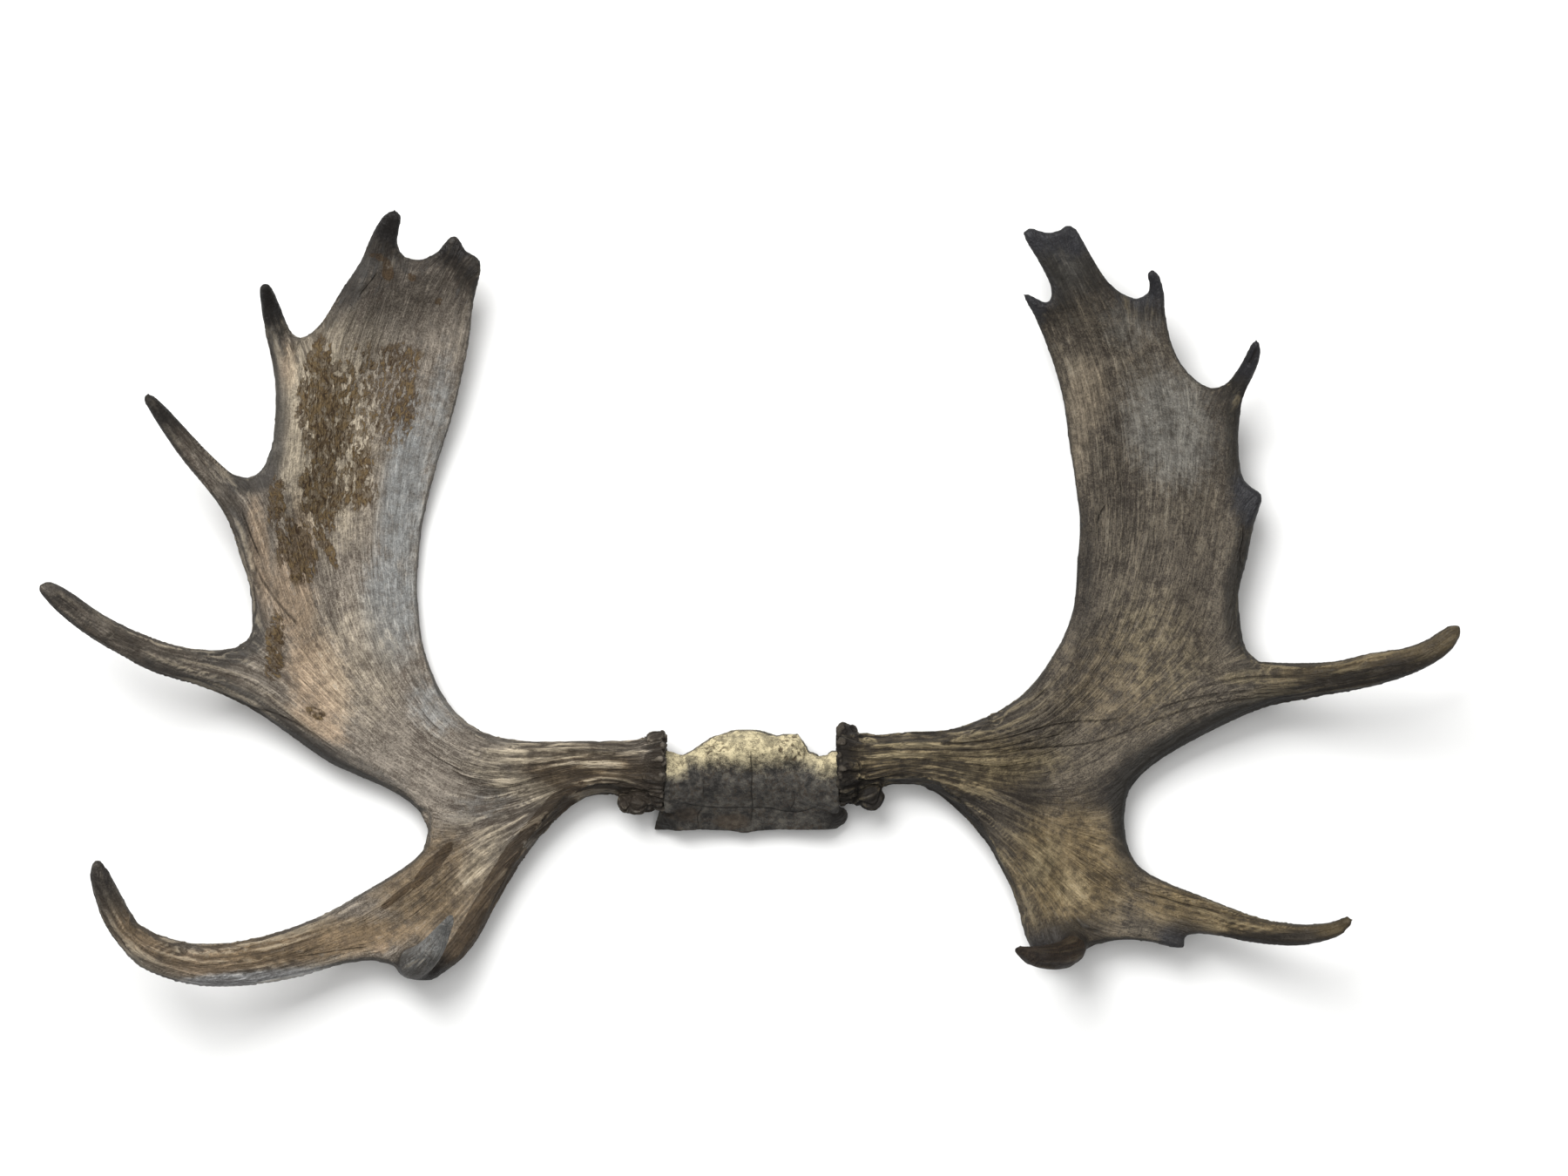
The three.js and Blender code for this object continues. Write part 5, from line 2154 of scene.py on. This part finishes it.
def right_antler() -> Antler:
    """The right antler with its own tines and marks.

    Returns:
        The antler, ready to build.
    """
    marks = Marks(
        warm=patches(
            (306, 352, 18, 34, 0, 0.85), (300, 300, 10, 30, 0, 0.5), (310, -138, 24, 12, 0, 0.8),
            (290, -150, 14, 10, 0, 0.6),
        ),
        cool=patches(
            (380, 322, 40, 56, 20, 0.7), (270, 480, 50, 40, 0, 0.8), (345, 420, 30, 26, 0, 0.4),
            (450, 300, 8, 40, 0, 0.6), (168, 10, 40, 12, 0, 0.45),
        ),
        # Dark: partly darker bone, partly painted shade on lower edges and undersides.
        dark=patches(
            (290, 510, 140, 90, 0, 0.66), (350, 440, 50, 20, -40, 0.6), (430, 330, 20, 40, 0, 0.4),
            (300, 200, 14, 70, 0, 0.6), (436, 40, 124, 24, 24, 1.5), (552, 86, 120, 20, 12, 1.1),
            (345, -20, 16, 46, 0, 1.1), (205, -70, 14, 70, 26), (150, -12, 60, 10, -6),
            (468, -142, 60, 8, 4, 0.9), (108, -16, 16, 14, 0, 1.2), (300, -136, 30, 12, 0, 0.7),
            (448, 180, 8, 60, 0, 0.75), (250, 120, 20, 60, -20, 0.45), (262, -12, 20, 18, 0, 0.5),
        ),
        # Cream: partly paler bone, partly painted highlight on upper edges.
        cream=patches(
            (372, 120, 40, 60, 20, 0.32), (450, 95, 26, 7, 0, 0.5), (485, -120, 46, 5, -8, 0.75),
            (170, 30, 80, 14, 4, 0.45), (265, -75, 14, 26, -30, 0.6), (292, -96, 16, 20, 30, 0.45),
            (225, 12, 64, 16, 6, 0.55),
        ),
        olive=patches(
            (290, -80, 60, 60, 0, 0.72), (430, -118, 90, 24, -10, 0.8), (530, -124, 34, 20),
            (560, 112, 90, 30, 14, 0.8), (618, 126, 40, 30, 20, 0.8), (330, 90, 60, 50, 0, 0.3),
            (170, 15, 90, 30, 0, 0.75),
        ),
        # Painted shade bands along the margins.
        shade_band=patches(
            (456, 320, 30, 110), (450, 170, 30, 60, 0, 0.9), (400, 20, 120, 40, 28, 0.9),
            (350, -30, 30, 50, 0, 0.9), (270, 480, 60, 50, 0, 0.8),
        ),
        cracks=(
            Crack(((158, 36), (190, 34), (222, 37), (246, 42),
                   (270, 50), (300, 54), (326, 55), (352, 62)), 0.8),
            Crack(((170, 44), (205, 48), (232, 58), (256, 72), (276, 90), (290, 108)), 0.6),
            Crack(((200, 20), (236, 26), (268, 30), (300, 32),
                   (330, 40), (356, 52), (384, 64)), 0.7),
            Crack(((176, 28), (212, 28), (244, 33), (272, 40), (296, 44)), 0.6),
            Crack(((340, 44), (372, 58), (404, 68), (440, 74), (476, 78)), 0.8),
            Crack(((352, 58), (384, 72), (420, 80), (460, 84)), 0.6),
            Crack(((324, 252), (319, 244), (316, 234)), 0.8),
            Crack(((446, 236), (448, 222), (444, 208), (446, 190)), 0.7),
            Crack(((456, 392), (453, 384), (449, 376)), 1.2),
            Crack(((340, -98), (366, -104), (392, -112), (424, -118), (460, -124)), 1.1),
            Crack(((348, -90), (380, -98), (410, -108)), 0.8),
            Crack(((400, 84), (430, 92), (460, 96), (500, 96)), 1.0),
            Crack(((410, 74), (440, 82), (476, 84)), 0.9),
            Crack(((290, -120), (300, -132), (318, -138)), 0.9),
        ),
    )
    finish = AntlerFinish(
        name="dry_antler_right",
        pale="6b6254",
        middle="544d43",
        dark="352f28",
        warm="867a68",
        cool="7b7973",
        velvet="5e4d33",
        velvet_dark="3d301d",
        rim="25231f",
        tip="242427",
        groove="1a1612",
        olive="766546",
        cream="97896b",
        shadow="13100e",
        edging="35271a",
        bounce_light="8d8d8a",
        seed=17.0,
    )
    tips = (
        Tip(246, 443, 0.08, 20),
        Tip(247, 500, 0.10, 30),
        Tip(286, 505, 0.10, 30),
        Tip(361, 464, 0.10, 45),
        Tip(455, 401, 0.12, 66),
        Tip(464, 261, 0.07, 25),
        Tip(637, 140, 0.17, 200, 0.62),
        Tip(541, -121, 0.14, 150, 0.62),
        Tip(395, -151, 0.04, 18),
        Tip(276, -161, 0.08, 30),
    )
    return Antler(
        name="right_antler",
        side=Side.RIGHT,
        nodes=("right_main_palm", "right_brow_palm"),
        slot="right_antler_bone",
        fork_y=-52.0,
        burr_y=16.0,
        burr_radius=36.0,
        tips=tips,
        small_tine=((297, -143, 40), (289, -154, 72), (271, -157, 100),
                    (253, -155, 121), (240, -149, 135)),
        marks=marks,
        finish=finish,
        seed=23,
        small_tine_brown=0.9,
    )


# ---- Studio ------------------------------------------------------------------------------


@dataclass
class Studio:
    """Pale floor, soft light and the camera overhead."""

    camera_m: tuple[float, float, float] = (0.0296, 0.176, 6.0)
    lens: float = 150.0
    floor_colour: str = "e9e9e8"
    floor_half_m: float = 14.0
    world_strength: float = 0.27
    sensor: float = 36.0
    aim_m: tuple[float, float, float] = (0.0, 0.15, 0.0)
    lights: tuple[tuple[str, tuple[float, float, float], float, float], ...] = (
        ("key_light", (-1.0, 2.1, 3.8), 2.2, 225.0),
        ("top_light", (0.2, 0.6, 7.5), 4.5, 250.0),
    )

    def build(self) -> None:
        """Makes floor, lights and camera."""
        self._make_floor()
        for name, place_m, size_m, watts in self.lights:
            self._make_light(name, place_m, size_m, watts)
        world = bpy.data.worlds.new("studio_air")
        world.use_nodes = True
        background = world.node_tree.nodes["Background"]
        background.inputs[0].default_value = (1.0, 1.0, 1.0, 1.0)
        background.inputs[1].default_value = self.world_strength
        bpy.context.scene.world = world
        bpy.context.scene.view_settings.view_transform = "Standard"
        lens = bpy.data.cameras.new("camera")
        lens.sensor_width = self.sensor
        lens.lens = self.lens
        camera = bpy.data.objects.new("camera", lens)
        camera.location = self.camera_m
        bpy.context.scene.collection.objects.link(camera)
        bpy.context.scene.camera = camera

    def _make_floor(self) -> None:
        """Lays the floor under the antlers."""
        half = self.floor_half_m
        mesh = bpy.data.meshes.new("studio_floor")
        corners = [(-half, -half, 0), (half, -half, 0), (half, half, 0), (-half, half, 0)]
        mesh.from_pydata(corners, [], [(0, 1, 2, 3)])
        floor = bpy.data.objects.new("studio_floor", mesh)
        bpy.context.scene.collection.objects.link(floor)
        material = bpy.data.materials.new("pale_floor")
        material.use_nodes = True
        surface = material.node_tree.nodes["Principled BSDF"]
        surface.inputs["Base Color"].default_value = linear(self.floor_colour)
        surface.inputs["Roughness"].default_value = 0.9
        surface.inputs["Specular IOR Level"].default_value = 0.1
        mesh.materials.append(material)

    def _make_light(
        self, name: str, place_m: tuple[float, float, float], size_m: float, watts: float
    ) -> None:
        """Hangs a square soft light that points at the antlers.

        Args:
            name: Name of the light.
            place_m: Where it hangs.
            size_m: Its side.
            watts: Its power.
        """
        lamp = bpy.data.lights.new(name, "AREA")
        lamp.shape = "SQUARE"
        lamp.size = size_m
        lamp.energy = watts
        holder = bpy.data.objects.new(name, lamp)
        holder.location = place_m
        aim = Vector(self.aim_m) - holder.location
        holder.rotation_euler = aim.to_track_quat("-Z", "Y").to_euler()
        bpy.context.scene.collection.objects.link(holder)


def main() -> None:
    """Builds the studio and every piece in order."""
    logging.basicConfig(level=logging.INFO, format="%(name)s: %(message)s")
    Studio().build()
    shared = SharedEffects()
    for maker in (SkullPlate(), left_antler(), right_antler()):
        piece = maker.build(shared)
        mesh = piece.data
        LOG.info("%s: %d points, %d faces", piece.name, len(mesh.vertices), len(mesh.polygons))


if __name__ == "__main__":
    main()
